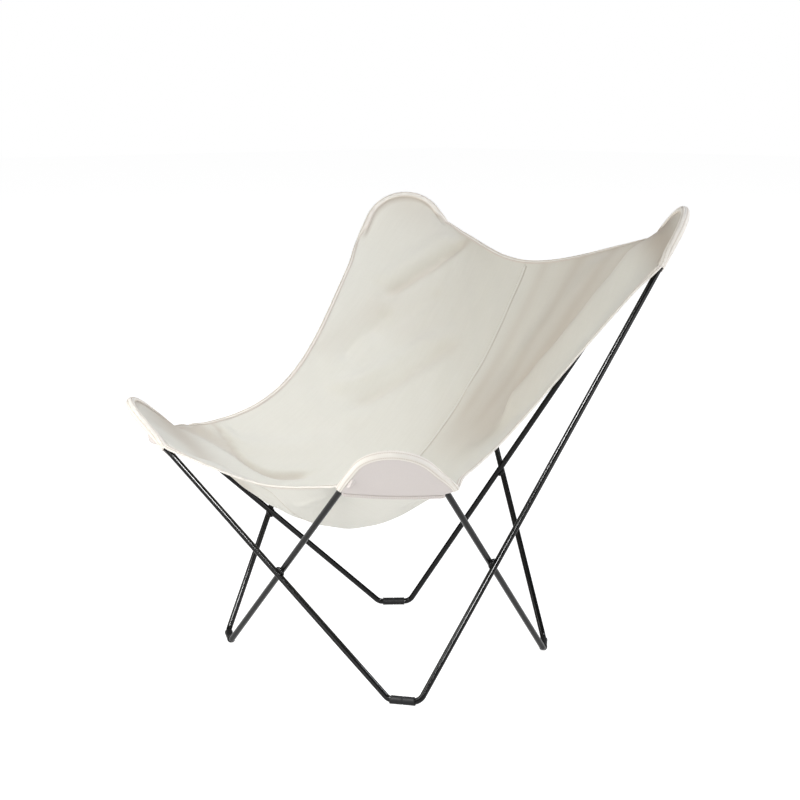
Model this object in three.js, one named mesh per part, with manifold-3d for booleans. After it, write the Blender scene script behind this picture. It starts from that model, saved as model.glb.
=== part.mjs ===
// A butterfly sling chair: a canvas sling hung by four ear pockets
// on a frame of two crossed loops of round steel rod.
// Millimetres, +Z up, front of the chair towards -Y, its left and right as seen from the front.

import * as THREE from 'three';
import { mergeVertices } from 'three/addons/utils/BufferGeometryUtils.js';
import Module from 'manifold-3d';

const wasm = await Module();
wasm.setup();

// Frame rod
const rodDiameter = 12;
const rodRadius = rodDiameter / 2;
const footBendRadius = 20;
const rodSides = 12;
const footBendSteps = 4;
const earArcSteps = 10;
const spacingRounds = 20;

// Clearance between pieces that touch
const fitGap = 0.3;

// Feet: centre of each foot's short run on the floor, and how that run lies in plan
const frontFootHalfSpan = 265.3;
const frontFootForward = 250.6;
const frontFootHalfRun = 30;
const frontFootTurn = THREE.MathUtils.degToRad(31.6);
const backFootHalfSpan = 223.7;
const backFootBack = 185.6;
const backFootHalfRun = 33.6;
const backFootTurn = THREE.MathUtils.degToRad(-48.9);

// Ears: the point where an ear's two legs would meet if it weren't rounded
const frontEarHalfSpan = 461;
const frontEarForward = 452.3;
const frontEarHeight = 598.6;
const frontEarRadius = 71.7;
const backEarHalfSpan = 483.2;
const backEarBack = 480;
const backEarHeight = 1111.3;
const backEarRadius = 83.6;

// Foot sleeves
const sleeveWall = 1.7;
const sleeveLength = 47;
const sleeveSoleDepth = 0.5;
const sleeveSides = 12;
const sleeveSteps = 6;

// Weld beads at the four crossings
const weldReach = 4.5;
const weldSides = 14;
const weldCutLength = 4 * rodDiameter;

// Sling cloth, its hems and its pockets
const clothThickness = 1.4;
const hemWidth = 9;
const hemThickness = 1.2;
const hemStart = 44;
const rimThickness = 1.2;
const rimArcSteps = 5;
const rimEndAngle = THREE.MathUtils.degToRad(86);
const seamTapeWidth = 12;
const seamTapeThickness = 0.8;
const pocketHemDip = 5;

// How much rod each pocket holds, measured from the ear's tip along each of its legs
const frontPocketAlongFront = 165;
const frontPocketAlongSide = 148;
const backPocketAlongSide = 170;
const backPocketAlongBack = 126;

// Free edges of the sling, measured from the corners of the pockets that they join
const frontEdgeInset = 18;
const frontEdgeDrop = 39;
const frontEdgeMiddleReach = 65;
const frontEdgeCornerReach = new THREE.Vector3(-78, -4, -16);
const backEdgeInset = 44;
const backEdgeDrop = 64;
const backEdgeMiddleReach = 112;
const backEdgeCornerReach = new THREE.Vector3(-96, 6, -16);
const sideEdgeFrontReach = new THREE.Vector3(-107, 254, 5);
const sideEdgeBackReach = new THREE.Vector3(-77, -214, -210);

// How far the load on the cloth draws it down, over the whole sling and more so at the seat
const clothSag = 1400;
const seatSag = 1750;
const seatPlaceShare = 0.232;
const seatWidthShare = 0.1;
const acrossStiffnessShare = 1.5;
const solverSweeps = 900;
const solverPullShare = 1.8;

// Grid of the sling
const halfColumns = 9;
const sideEdgeRows = 11;
const straightSteps = { frontAlongFront: 2, frontAlongSide: 2, backAlongSide: 2, backAlongBack: 1 };

const footHeight = rodRadius + fitGap + sleeveWall - sleeveSoleDepth;

const steelPaint = { color: 0x101010, roughness: 0.3, metalness: 0.4 };
const blackPlastic = { color: 0x161616, roughness: 0.55, metalness: 0 };
const canvas = { color: 0xe6e4da, roughness: 0.95, metalness: 0 };
const canvasTape = { color: 0xece7de, roughness: 0.9, metalness: 0 };

const group = new THREE.Group();

function addPiece(name, geometry, look) {
  const mesh = new THREE.Mesh(geometry, new THREE.MeshStandardMaterial(look));
  mesh.name = name;
  group.add(mesh);
}

function lerp(a, b, share) {
  return new THREE.Vector3().lerpVectors(a, b, share);
}

// A path of straight runs and round bends through corner points, as a list of stations
function roundedPath(corners, radii, steps) {
  const stations = [];
  let length = 0;
  const push = (point, tangent) => {
    if (stations.length) {
      length += stations[stations.length - 1].point.distanceTo(point);
    }
    stations.push({ point, tangent, at: length });
  };
  const first = corners[1].clone().sub(corners[0]).normalize();
  push(corners[0].clone(), first);
  for (let i = 1; i < corners.length - 1; i += 1) {
    const into = corners[i].clone().sub(corners[i - 1]).normalize();
    const out = corners[i + 1].clone().sub(corners[i]).normalize();
    const turn = into.angleTo(out);
    const radius = radii[i - 1];
    const start = corners[i].clone().addScaledVector(into, -radius * Math.tan(turn / 2));
    const axis = into.clone().cross(out).normalize();
    const inward = axis.clone().cross(into);
    const centre = start.clone().addScaledVector(inward, radius);
    for (let step = 0; step <= steps[i - 1]; step += 1) {
      const angle = (turn * step) / steps[i - 1];
      const arm = inward.clone().multiplyScalar(-radius).applyAxisAngle(axis, angle);
      push(centre.clone().add(arm), into.clone().applyAxisAngle(axis, angle));
    }
  }
  const last = corners[corners.length - 1];
  push(last.clone(), last.clone().sub(corners[corners.length - 2]).normalize());
  return stations;
}

// The place on a path at a length along it
function placeAt(stations, at) {
  let i = 1;
  while (i < stations.length - 1 && stations[i].at < at) {
    i += 1;
  }
  const [a, b] = [stations[i - 1], stations[i]];
  const share = (at - a.at) / (b.at - a.at);
  return { point: lerp(a.point, b.point, share), tangent: lerp(a.tangent, b.tangent, share).normalize(), at };
}

// A curve that ExtrudeGeometry samples at exactly the stations
class StationCurve extends THREE.Curve {
  constructor(stations) {
    super();
    this.stations = stations;
  }

  nearest(t) {
    return this.stations[Math.round(t * (this.stations.length - 1))];
  }

  getPoint(t) {
    return this.nearest(t).point.clone();
  }

  getTangent(t) {
    return this.nearest(t).tangent.clone();
  }

  getUtoTmapping(u) {
    return u;
  }
}

function circle(radius, sides) {
  const points = [];
  for (let i = 0; i < sides; i += 1) {
    const angle = (2 * Math.PI * i) / sides;
    points.push(new THREE.Vector2(radius * Math.cos(angle), radius * Math.sin(angle)));
  }
  return points;
}

function sweep(shape, stations) {
  return new THREE.ExtrudeGeometry(shape, {
    steps: stations.length - 1,
    extrudePath: new StationCurve(stations),
    bevelEnabled: false,
  });
}

function toSolid(geometry) {
  const bare = geometry.clone();
  bare.deleteAttribute('normal');
  bare.deleteAttribute('uv');
  const merged = mergeVertices(bare);
  return new wasm.Manifold(
    new wasm.Mesh({
      numProp: 3,
      vertProperties: new Float32Array(merged.attributes.position.array),
      triVerts: new Uint32Array(merged.index.array),
    }),
  );
}

function fromSolid(solid) {
  const mesh = solid.getMesh();
  const geometry = new THREE.BufferGeometry();
  geometry.setAttribute('position', new THREE.BufferAttribute(mesh.vertProperties, 3));
  geometry.setIndex(new THREE.BufferAttribute(mesh.triVerts, 1));
  geometry.computeVertexNormals();
  return geometry;
}

// A geometry from points and triangles, turned so that its faces point out
function closedGeometry(points, triangles) {
  let volume = 0;
  for (let i = 0; i < triangles.length; i += 3) {
    const [a, b, c] = [0, 1, 2].map((k) => points[triangles[i + k]]);
    volume += a.dot(b.clone().cross(c));
  }
  const index = volume < 0 ? triangles.slice().reverse() : triangles;
  const geometry = new THREE.BufferGeometry().setFromPoints(points);
  geometry.setIndex(index);
  geometry.computeVertexNormals();
  return geometry;
}

// A closed body through rings of points, with the same convex or bent outline at both ends
function loftRings(rings, outline = null) {
  const count = rings[0].length;
  const points = rings.flat();
  const triangles = [];
  for (let ring = 0; ring < rings.length - 1; ring += 1) {
    for (let k = 0; k < count; k += 1) {
      const a = ring * count + k;
      const b = ring * count + ((k + 1) % count);
      triangles.push(a, b, b + count, a, b + count, a + count);
    }
  }
  const lastRing = (rings.length - 1) * count;
  const faces = [];
  if (outline) {
    faces.push(...THREE.ShapeUtils.triangulateShape(outline, []));
  } else {
    for (let k = 1; k < count - 1; k += 1) {
      faces.push([0, k, k + 1]);
    }
  }
  for (const [p, q, r] of faces) {
    triangles.push(p, r, q, lastRing + p, lastRing + q, lastRing + r);
  }
  return closedGeometry(points, triangles);
}

// A closed body of one section, placed by a frame at each ring
function loft(section, frames) {
  const outline = THREE.ShapeUtils.isClockWise(section) ? section.slice().reverse() : section;
  const rings = frames.map((frame) =>
    outline.map((p) => frame.origin.clone().addScaledVector(frame.a, p.x).addScaledVector(frame.b, p.y)),
  );
  return loftRings(rings, outline);
}

// A closed sheet of even thickness about a grid of points with a normal at each
function sheet(grid, normals, thickness) {
  const columns = grid.length;
  const rows = grid[0].length;
  const points = [];
  const triangles = [];
  for (const side of [1, -1]) {
    for (let i = 0; i < columns; i += 1) {
      for (let j = 0; j < rows; j += 1) {
        points.push(grid[i][j].clone().addScaledVector(normals[i][j], (side * thickness) / 2));
      }
    }
  }
  const under = columns * rows;
  const at = (i, j) => i * rows + j;
  const quad = (a, b, c, d) => triangles.push(a, b, c, a, c, d);
  for (let i = 0; i < columns - 1; i += 1) {
    for (let j = 0; j < rows - 1; j += 1) {
      const [a, b, c, d] = [at(i, j), at(i + 1, j), at(i + 1, j + 1), at(i, j + 1)];
      quad(a, b, c, d);
      triangles.push(under + a, under + c, under + b, under + a, under + d, under + c);
    }
  }
  const rim = (a, b) => quad(b, a, under + a, under + b);
  for (let i = 0; i < columns - 1; i += 1) {
    rim(at(i, 0), at(i + 1, 0));
    rim(at(i + 1, rows - 1), at(i, rows - 1));
  }
  for (let j = 0; j < rows - 1; j += 1) {
    rim(at(columns - 1, j), at(columns - 1, j + 1));
    rim(at(0, j + 1), at(0, j));
  }
  return closedGeometry(points, triangles);
}

// Feet and ears of the frame before its two loops are moved apart
const ends = {
  front: {
    foot: new THREE.Vector3(frontFootHalfSpan, -frontFootForward, footHeight),
    halfRun: frontFootHalfRun,
    turn: frontFootTurn,
    ear: new THREE.Vector3(frontEarHalfSpan, -frontEarForward, frontEarHeight),
    earRadius: frontEarRadius,
  },
  back: {
    foot: new THREE.Vector3(backFootHalfSpan, backFootBack, footHeight),
    halfRun: backFootHalfRun,
    turn: backFootTurn,
    ear: new THREE.Vector3(backEarHalfSpan, backEarBack, backEarHeight),
    earRadius: backEarRadius,
  },
};
const otherEnd = { front: 'back', back: 'front' };
const sideName = (side) => (side < 0 ? 'left' : 'right');

function onSide(vector, side) {
  return new THREE.Vector3(side * vector.x, vector.y, vector.z);
}

// A foot's run ends at an inner corner, towards the chair's middle, and an outer one
function footCorner(end, side, inner) {
  const { foot, halfRun, turn } = ends[end];
  const along = new THREE.Vector3(Math.cos(turn), Math.sin(turn), 0);
  return onSide(foot.clone().addScaledVector(along, inner ? -halfRun : halfRun), side);
}

// An ear's two legs: one crosses to the other foot of its own end, one runs to the side's other foot
function earCorners(end, side) {
  const across = footCorner(end, -side, true);
  const along = footCorner(otherEnd[end], side, false);
  return { ear: onSide(ends[end].ear, side), across, along };
}

// Loop 1 holds the front left and back right ears, loop -1 the other two
const loopOf = (end, side) => (end === 'front' ? -side : side);

// Where the two loops cross, and the way that loop 1 stands off from loop -1 there
const forwards = new THREE.Vector3(0, -1, 0);
const rightwards = new THREE.Vector3(1, 0, 0);
const crossings = [
  { name: 'front', one: ['front', -1, 'across'], two: ['front', 1, 'across'], way: forwards },
  { name: 'back', one: ['back', 1, 'across'], two: ['back', -1, 'across'], way: forwards },
  { name: 'right', one: ['back', 1, 'along'], two: ['front', 1, 'along'], way: rightwards },
  { name: 'left', one: ['front', -1, 'along'], two: ['back', -1, 'along'], way: rightwards },
];
const loopShift = { front: 0, back: 0, left: 0, right: 0 };

function shifted(point, loop) {
  const end = point.y < 0 ? 'front' : 'back';
  const shift = new THREE.Vector3()
    .addScaledVector(forwards, loopShift[end])
    .addScaledVector(rightwards, loopShift[sideName(point.x)]);
  return point.clone().addScaledVector(shift, loop);
}

function shiftedLeg([end, side, which]) {
  const corners = earCorners(end, side);
  const loop = loopOf(end, side);
  return { from: shifted(corners.ear, loop), to: shifted(corners[which], loop) };
}

// The loops move apart at each crossing until their rods just clear each other there
const rodSpacing = rodDiameter + fitGap;
for (let round = 0; round < spacingRounds; round += 1) {
  for (const { name, one, two, way } of crossings) {
    const [legA, legB] = [one, two].map(shiftedLeg);
    const normal = legA.to.clone().sub(legA.from).cross(legB.to.clone().sub(legB.from)).normalize();
    normal.multiplyScalar(Math.sign(normal.dot(way)));
    const apart = legA.from.clone().sub(legB.from).dot(normal);
    loopShift[name] += (rodSpacing - apart) / (2 * normal.dot(way));
  }
}

// Each rod runs from the middle of one foot over its ear to the middle of another foot
function rodPath(end, side) {
  const loop = loopOf(end, side);
  const { ear, across, along } = earCorners(end, side);
  const acrossFoot = onSide(ends[end].foot, -side);
  const alongFoot = onSide(ends[otherEnd[end]].foot, side);
  const startAt = lerp(acrossFoot, across, fitGap / 2 / acrossFoot.distanceTo(across));
  const endAt = lerp(alongFoot, along, fitGap / 2 / alongFoot.distanceTo(along));
  const corners = [startAt, across, ear, along, endAt].map((point) => shifted(point, loop));
  const radii = [footBendRadius, ends[end].earRadius, footBendRadius];
  return roundedPath(corners, radii, [footBendSteps, earArcSteps, footBendSteps]);
}

const rods = {};
for (const end of ['front', 'back']) {
  for (const side of [-1, 1]) {
    const path = rodPath(end, side);
    rods[`${end}_${sideName(side)}`] = path;
    const shape = new THREE.Shape(circle(rodRadius, rodSides));
    addPiece(`${end}_${sideName(side)}_rod`, sweep(shape, path), steelPaint);
  }
}

// A plastic sleeve joins the two rod ends that meet in each foot, and is flat where it stands
function footSleeve(end, side) {
  const acrossEar = onSide(ends[end].ear, -side);
  const alongEar = onSide(ends[otherEnd[end]].ear, side);
  const loop = loopOf(end, -side);
  const inner = footCorner(end, side, true);
  const outer = footCorner(end, side, false);
  const corners = [acrossEar, inner, outer, alongEar].map((point) => shifted(point, loop));
  const path = roundedPath(corners, [footBendRadius, footBendRadius], [footBendSteps, footBendSteps]);
  const middle = (path[footBendSteps + 1].at + path[footBendSteps + 2].at) / 2;
  const stations = [];
  for (let step = 0; step <= sleeveSteps; step += 1) {
    stations.push(placeAt(path, middle + sleeveLength * (step / sleeveSteps - 1 / 2)));
  }
  const innerRadius = (rodRadius + fitGap) / Math.cos(Math.PI / sleeveSides);
  const shape = new THREE.Shape(circle(rodRadius + fitGap + sleeveWall, sleeveSides));
  shape.holes.push(new THREE.Path(circle(innerRadius, sleeveSides)));
  const tube = toSolid(sweep(shape, stations));
  const ground = new THREE.BoxGeometry(2 * sleeveLength, 2 * sleeveLength, sleeveLength);
  const foot = shifted(onSide(ends[end].foot, side), loop);
  ground.translate(foot.x, foot.y, -sleeveLength / 2);
  return fromSolid(tube.subtract(toSolid(ground)));
}

for (const end of ['front', 'back']) {
  for (const side of [-1, 1]) {
    addPiece(`${end}_${sideName(side)}_foot_sleeve`, footSleeve(end, side), blackPlastic);
  }
}

// A bead of weld fills the corners between two rods where they cross
function weldBead({ one, two }) {
  const [legA, legB] = [one, two].map(shiftedLeg);
  const dirA = legA.to.clone().sub(legA.from).normalize();
  const dirB = legB.to.clone().sub(legB.from).normalize();
  const normal = dirA.clone().cross(dirB).normalize();
  const apart = legB.from.clone().sub(legA.from);
  const across = apart.dot(normal);
  const slope = dirA.dot(dirB);
  const alongA = (apart.dot(dirA) - slope * apart.dot(dirB)) / (1 - slope * slope);
  const centre = legA.from.clone().addScaledVector(dirA, alongA).addScaledVector(normal, across / 2);

  const bead = new THREE.SphereGeometry(1, weldSides, weldSides / 2);
  bead.scale(rodRadius + weldReach, rodRadius + weldReach, Math.abs(across) / 2);
  bead.applyQuaternion(new THREE.Quaternion().setFromUnitVectors(new THREE.Vector3(0, 0, 1), normal));
  bead.translate(centre.x, centre.y, centre.z);

  let solid = toSolid(bead);
  const clearRadius = (rodRadius + fitGap) / Math.cos(Math.PI / rodSides);
  for (const [direction, lift] of [[dirA, -1 / 2], [dirB, 1 / 2]]) {
    const rod = new THREE.CylinderGeometry(clearRadius, clearRadius, weldCutLength, rodSides);
    rod.applyQuaternion(new THREE.Quaternion().setFromUnitVectors(new THREE.Vector3(0, 1, 0), direction));
    const middle = centre.clone().addScaledVector(normal, across * lift);
    rod.translate(middle.x, middle.y, middle.z);
    solid = solid.subtract(toSolid(rod));
  }
  return fromSolid(solid);
}

for (const crossing of crossings) {
  addPiece(`${crossing.name}_crossing_weld`, weldBead(crossing), steelPaint);
}

// The stretch of rod that a pocket holds, from its crossing leg round the tip to its side leg
function earStations(end, side) {
  const path = rods[`${end}_${sideName(side)}`];
  const arcStart = footBendSteps + 2;
  const arc = path.slice(arcStart, arcStart + earArcSteps + 1);
  const tip = (arc[0].at + arc[earArcSteps].at) / 2;
  const front = end === 'front';
  const acrossLength = front ? frontPocketAlongFront : backPocketAlongBack;
  const alongLength = front ? frontPocketAlongSide : backPocketAlongSide;
  const acrossSteps = front ? straightSteps.frontAlongFront : straightSteps.backAlongBack;
  const alongSteps = front ? straightSteps.frontAlongSide : straightSteps.backAlongSide;
  const before = [];
  const after = [];
  for (let step = 0; step < acrossSteps; step += 1) {
    const from = tip - acrossLength;
    before.push(placeAt(path, from + ((arc[0].at - from) * step) / acrossSteps));
  }
  for (let step = 1; step <= alongSteps; step += 1) {
    const from = arc[earArcSteps].at;
    after.push(placeAt(path, from + ((tip + alongLength - from) * step) / alongSteps));
  }
  const stations = [...before, ...arc, ...after];
  const { ear, across, along } = earCorners(end, side);
  const up = across.sub(ear).cross(along.sub(ear)).normalize();
  up.multiplyScalar(Math.sign(up.z));
  const middle = arc[0].point.clone().add(arc[earArcSteps].point).multiplyScalar(1 / 2);
  const tipPoint = arc[earArcSteps / 2].point;
  const outFacing = tipPoint.clone().sub(middle);
  return stations.map(({ point, tangent }) => {
    const out = tangent.clone().cross(up).normalize();
    return { point, up, out: out.multiplyScalar(Math.sign(out.dot(outFacing)) || 1) };
  });
}

const ears = {};
for (const end of ['front', 'back']) {
  for (const side of [-1, 1]) {
    ears[`${end}_${sideName(side)}`] = earStations(end, side);
  }
}

const clothLift = rodRadius + fitGap + clothThickness / 2;
const clothOver = ({ point, up }) => point.clone().addScaledVector(up, clothLift);

// The sling's outline, as the two outer columns and the front and back rows of its grid
function sideOutline(side) {
  const front = ears[`front_${sideName(side)}`].map(clothOver);
  const back = ears[`back_${sideName(side)}`].map(clothOver).reverse();
  const start = front[front.length - 1];
  const finish = back[0];
  const edge = new THREE.CubicBezierCurve3(
    start,
    start.clone().add(onSide(sideEdgeFrontReach, side)),
    finish.clone().add(onSide(sideEdgeBackReach, side)),
    finish,
  );
  const free = edge.getSpacedPoints(sideEdgeRows).slice(1, -1);
  return { points: [...front, ...free, ...back], freeStart: front.length - 1 };
}

function endOutline(left, right, inset, drop, middleReach, cornerReach) {
  const middle = lerp(left, right, 1 / 2).add(new THREE.Vector3(0, inset, -drop));
  const half = (corner, side) => {
    const reach = new THREE.Vector3(side * middleReach, 0, 0);
    const curve = new THREE.CubicBezierCurve3(
      middle,
      middle.clone().add(reach),
      corner.clone().add(onSide(cornerReach, side)),
      corner,
    );
    return curve.getSpacedPoints(halfColumns);
  };
  return [...half(left, -1).reverse(), ...half(right, 1).slice(1)];
}

const outlines = { left: sideOutline(-1), right: sideOutline(1) };
const [leftPoints, rightPoints] = [outlines.left.points, outlines.right.points];
const rows = leftPoints.length;
const columns = 2 * halfColumns + 1;
const frontRow = endOutline(
  leftPoints[0],
  rightPoints[0],
  frontEdgeInset,
  frontEdgeDrop,
  frontEdgeMiddleReach,
  frontEdgeCornerReach,
);
const backRow = endOutline(
  leftPoints[rows - 1],
  rightPoints[rows - 1],
  -backEdgeInset,
  backEdgeDrop,
  backEdgeMiddleReach,
  backEdgeCornerReach,
);

// The cloth hangs as a stretched net: each inner point rests where its neighbours' pull meets its load
function hangCloth() {
  const grid = [];
  for (let i = 0; i < columns; i += 1) {
    grid.push([]);
    for (let j = 0; j < rows; j += 1) {
      const outer = lerp(leftPoints[j], rightPoints[j], i / (columns - 1));
      grid[i].push(outer);
    }
  }
  for (let i = 0; i < columns; i += 1) {
    grid[i][0] = frontRow[i];
    grid[i][rows - 1] = backRow[i];
  }
  const lengths = [0];
  for (let j = 1; j < rows; j += 1) {
    lengths.push(lengths[j - 1] + rightPoints[j].distanceTo(rightPoints[j - 1]));
  }
  const place = lengths.map((length) => length / lengths[rows - 1]);
  const step = 1 / halfColumns;
  for (let round = 0; round < solverSweeps; round += 1) {
    for (let j = 1; j < rows - 1; j += 1) {
      const before = place[j] - place[j - 1];
      const after = place[j + 1] - place[j];
      const width = (before + after) / 2;
      const across = (acrossStiffnessShare * width) / step;
      const pullBack = step / before / acrossStiffnessShare;
      const pullOn = step / after / acrossStiffnessShare;
      const seat = Math.exp(-(((place[j] - seatPlaceShare) / seatWidthShare) ** 2));
      const load = (clothSag + seatSag * seat) * width * step;
      for (let i = 1; i < columns - 1; i += 1) {
        const target = grid[i - 1][j].clone().add(grid[i + 1][j]).multiplyScalar(across);
        target.addScaledVector(grid[i][j - 1], pullBack).addScaledVector(grid[i][j + 1], pullOn);
        target.z -= load;
        target.multiplyScalar(1 / (2 * across + pullBack + pullOn));
        grid[i][j].lerp(target, solverPullShare);
      }
    }
  }
  return grid;
}

function gridNormals(grid) {
  const pick = (i, j) => {
    const column = Math.min(Math.max(i, 0), grid.length - 1);
    const row = Math.min(Math.max(j, 0), grid[0].length - 1);
    return grid[column][row];
  };
  return grid.map((column, i) =>
    column.map((point, j) => {
      const across = pick(i + 1, j).clone().sub(pick(i - 1, j));
      const along = pick(i, j + 1).clone().sub(pick(i, j - 1));
      return across.cross(along).normalize();
    }),
  );
}

const slingGrid = hangCloth();
const slingNormals = gridNormals(slingGrid);

// Along each ear the cloth's edge stands square to the ear, over the rod
for (const side of [-1, 1]) {
  const column = slingNormals[side < 0 ? 0 : columns - 1];
  ears[`front_${sideName(side)}`].forEach(({ up }, j) => column[j].copy(up));
  ears[`back_${sideName(side)}`].forEach(({ up }, j) => column[rows - 1 - j].copy(up));
}

// The sling is cut in two panels, which meet at the seam down its middle.
// Grown by a clearance on every side, they cut what lies against the cloth.
function slingPanel(side, growth = 0) {
  const seam = halfColumns;
  const order = [];
  for (let k = 0; k <= halfColumns; k += 1) {
    order.push(seam + side * k);
  }
  const grid = order.map((i) => slingGrid[i].map((point) => point.clone()));
  const normals = order.map((i) => slingNormals[i].map((normal) => normal.clone()));
  const pushOut = (point, neighbour) => {
    point.addScaledVector(point.clone().sub(neighbour).normalize(), growth);
  };
  for (const column of grid) {
    pushOut(column[0], column[1]);
    pushOut(column[rows - 1], column[rows - 2]);
  }
  for (let j = 0; j < rows; j += 1) {
    pushOut(grid[halfColumns][j], grid[halfColumns - 1][j]);
    grid[0][j].x += side * (fitGap / 2 - growth);
    normals[0][j].setX(0).normalize();
  }
  return sheet(grid, normals, clothThickness + 2 * growth);
}

const grownPanels = [-1, 1].map((side) => toSolid(slingPanel(side, fitGap)));

function cutByCloth(geometry) {
  return fromSolid(grownPanels.reduce((solid, panel) => solid.subtract(panel), toSolid(geometry)));
}

addPiece('sling_left_panel', slingPanel(-1), canvas);
addPiece('sling_right_panel', slingPanel(1), canvas);

// A tape covers the seam between the two panels and stops short of the hems
function seamTape() {
  const lift = clothThickness / 2 + fitGap + seamTapeThickness / 2;
  const trim = hemWidth + fitGap;
  const across = [-1, 0, 1].map((side) =>
    slingGrid[halfColumns].map((point, j) => {
      const neighbour = slingGrid[halfColumns + side][j];
      const share = side ? seamTapeWidth / 2 / point.distanceTo(neighbour) : 0;
      return lerp(point, neighbour, share).addScaledVector(slingNormals[halfColumns][j], lift);
    }),
  );
  for (const line of across) {
    const last = line.length - 1;
    const startShare = trim / line[0].distanceTo(line[1]);
    const endShare = trim / line[last].distanceTo(line[last - 1]);
    line[0] = lerp(line[0], line[1], startShare);
    line[last] = lerp(line[last], line[last - 1], endShare);
  }
  const normals = across.map(() => slingNormals[halfColumns]);
  return sheet(across, normals, seamTapeThickness);
}

addPiece('centre_seam_tape', seamTape(), canvasTape);

// A hem folds over a free edge of the sling, clear of the cloth on both faces
function edgeHem(edge, inner, normals) {
  const reach = clothThickness / 2 + fitGap + hemThickness;
  const last = edge.length - 1;
  const indexAt = (line, length) => {
    let left = length;
    let i = 0;
    while (i < last && left > line[i].distanceTo(line[i + 1])) {
      left -= line[i].distanceTo(line[i + 1]);
      i += 1;
    }
    return i + left / line[i].distanceTo(line[i + 1]);
  };
  const from = indexAt(edge, hemStart);
  const to = last - indexAt(edge.slice().reverse(), hemStart);
  const places = [from];
  for (let i = Math.floor(from) + 1; i < to; i += 1) {
    places.push(i);
  }
  places.push(to);
  const at = (line, place) => {
    const i = Math.min(Math.floor(place), last - 1);
    return lerp(line[i], line[i + 1], place - i);
  };
  const rings = places.map((place) => {
    const i = Math.min(Math.floor(place), last - 1);
    const point = at(edge, place);
    const normal = at(normals, place).normalize();
    const along = edge[i + 1].clone().sub(edge[i]).normalize();
    if (place === i && i > 0) {
      along.add(edge[i].clone().sub(edge[i - 1]).normalize()).normalize();
    }
    const inward = at(inner, place).sub(point);
    inward.addScaledVector(along, -inward.dot(along)).normalize();
    const tip = point.clone().addScaledVector(inward, -fitGap - hemThickness);
    const root = point.clone().addScaledVector(inward, hemWidth);
    return [root, tip, tip, root].map((corner, n) =>
      corner.clone().addScaledVector(normal, n < 2 ? reach : -reach),
    );
  });
  return cutByCloth(loftRings(rings));
}

const rowOf = (grid, j) => grid.map((column) => column[j]);
addPiece(
  'front_edge_hem',
  edgeHem(rowOf(slingGrid, 0), rowOf(slingGrid, 1), rowOf(slingNormals, 0)),
  canvasTape,
);
addPiece(
  'back_edge_hem',
  edgeHem(rowOf(slingGrid, rows - 1), rowOf(slingGrid, rows - 2), rowOf(slingNormals, rows - 1)),
  canvasTape,
);
for (const side of [-1, 1]) {
  const column = side < 0 ? 0 : columns - 1;
  const from = outlines[sideName(side)].freeStart;
  const stretch = (list) => list.slice(from, from + sideEdgeRows + 1);
  const edge = stretch(slingGrid[column]);
  const inner = stretch(slingGrid[column - side]);
  const hem = edgeHem(edge, inner, stretch(slingNormals[column]));
  addPiece(`${sideName(side)}_edge_hem`, hem, canvasTape);
}

// The rim of a pocket wraps the outer side of the rod, from the sling over it to the pocket under it
function pocketRim(stations) {
  const innerRadius = (rodRadius + fitGap) / Math.cos(rimEndAngle / rimArcSteps);
  const section = [];
  for (let step = 0; step <= rimArcSteps; step += 1) {
    const angle = rimEndAngle * ((2 * step) / rimArcSteps - 1);
    section.push(new THREE.Vector2(Math.cos(angle), Math.sin(angle)).multiplyScalar(innerRadius));
  }
  for (let step = rimArcSteps; step >= 0; step -= 1) {
    const angle = rimEndAngle * ((2 * step) / rimArcSteps - 1);
    const radius = innerRadius + rimThickness;
    section.push(new THREE.Vector2(Math.cos(angle), Math.sin(angle)).multiplyScalar(radius));
  }
  return loft(section, stations.map(({ point, out, up }) => ({ origin: point, a: out, b: up })));
}

// The underside of a pocket is flat cloth below the rod, with a hem between the legs
function pocketUnderside(stations) {
  const { up } = stations[0];
  const first = stations[0].point;
  const last = stations[stations.length - 1].point;
  const acrossAxis = last.clone().sub(first).normalize();
  const outAxis = up.clone().cross(acrossAxis);
  const flat = ({ point }) => {
    const arm = point.clone().sub(first);
    return new THREE.Vector2(arm.dot(acrossAxis), arm.dot(outAxis));
  };
  const outline = stations.map(flat);
  const outwards = Math.sign(outline[Math.floor(outline.length / 2)].y);
  const hemMiddle = new THREE.Vector2(first.distanceTo(last) / 2, outwards * pocketHemDip);
  const shape = new THREE.Shape([...outline, hemMiddle]);
  const plate = new THREE.ExtrudeGeometry(shape, { depth: clothThickness, steps: 1, bevelEnabled: false });
  const frame = new THREE.Matrix4().makeBasis(acrossAxis, outAxis, up);
  plate.applyMatrix4(frame);
  const place = first.clone().addScaledVector(up, -clothLift - clothThickness / 2);
  return plate.translate(place.x, place.y, place.z);
}

for (const [name, stations] of Object.entries(ears)) {
  addPiece(`${name}_pocket_rim`, pocketRim(stations), canvasTape);
  addPiece(`${name}_pocket_underside`, pocketUnderside(stations), canvas);
}

// The origin is the middle of the chair's footprint, on the floor
const extent = new THREE.Box3().setFromObject(group);
const middleOfChair = extent.getCenter(new THREE.Vector3());
group.position.set(-middleOfChair.x, -middleOfChair.y, -extent.min.z);

export default group;
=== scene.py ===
# A butterfly sling chair, dressed: glossy black rod, plastic feet and a stitched canvas sling.
# Metres, +Z up, front of the chair towards -Y, its left and right as seen from the front.

import math

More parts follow.
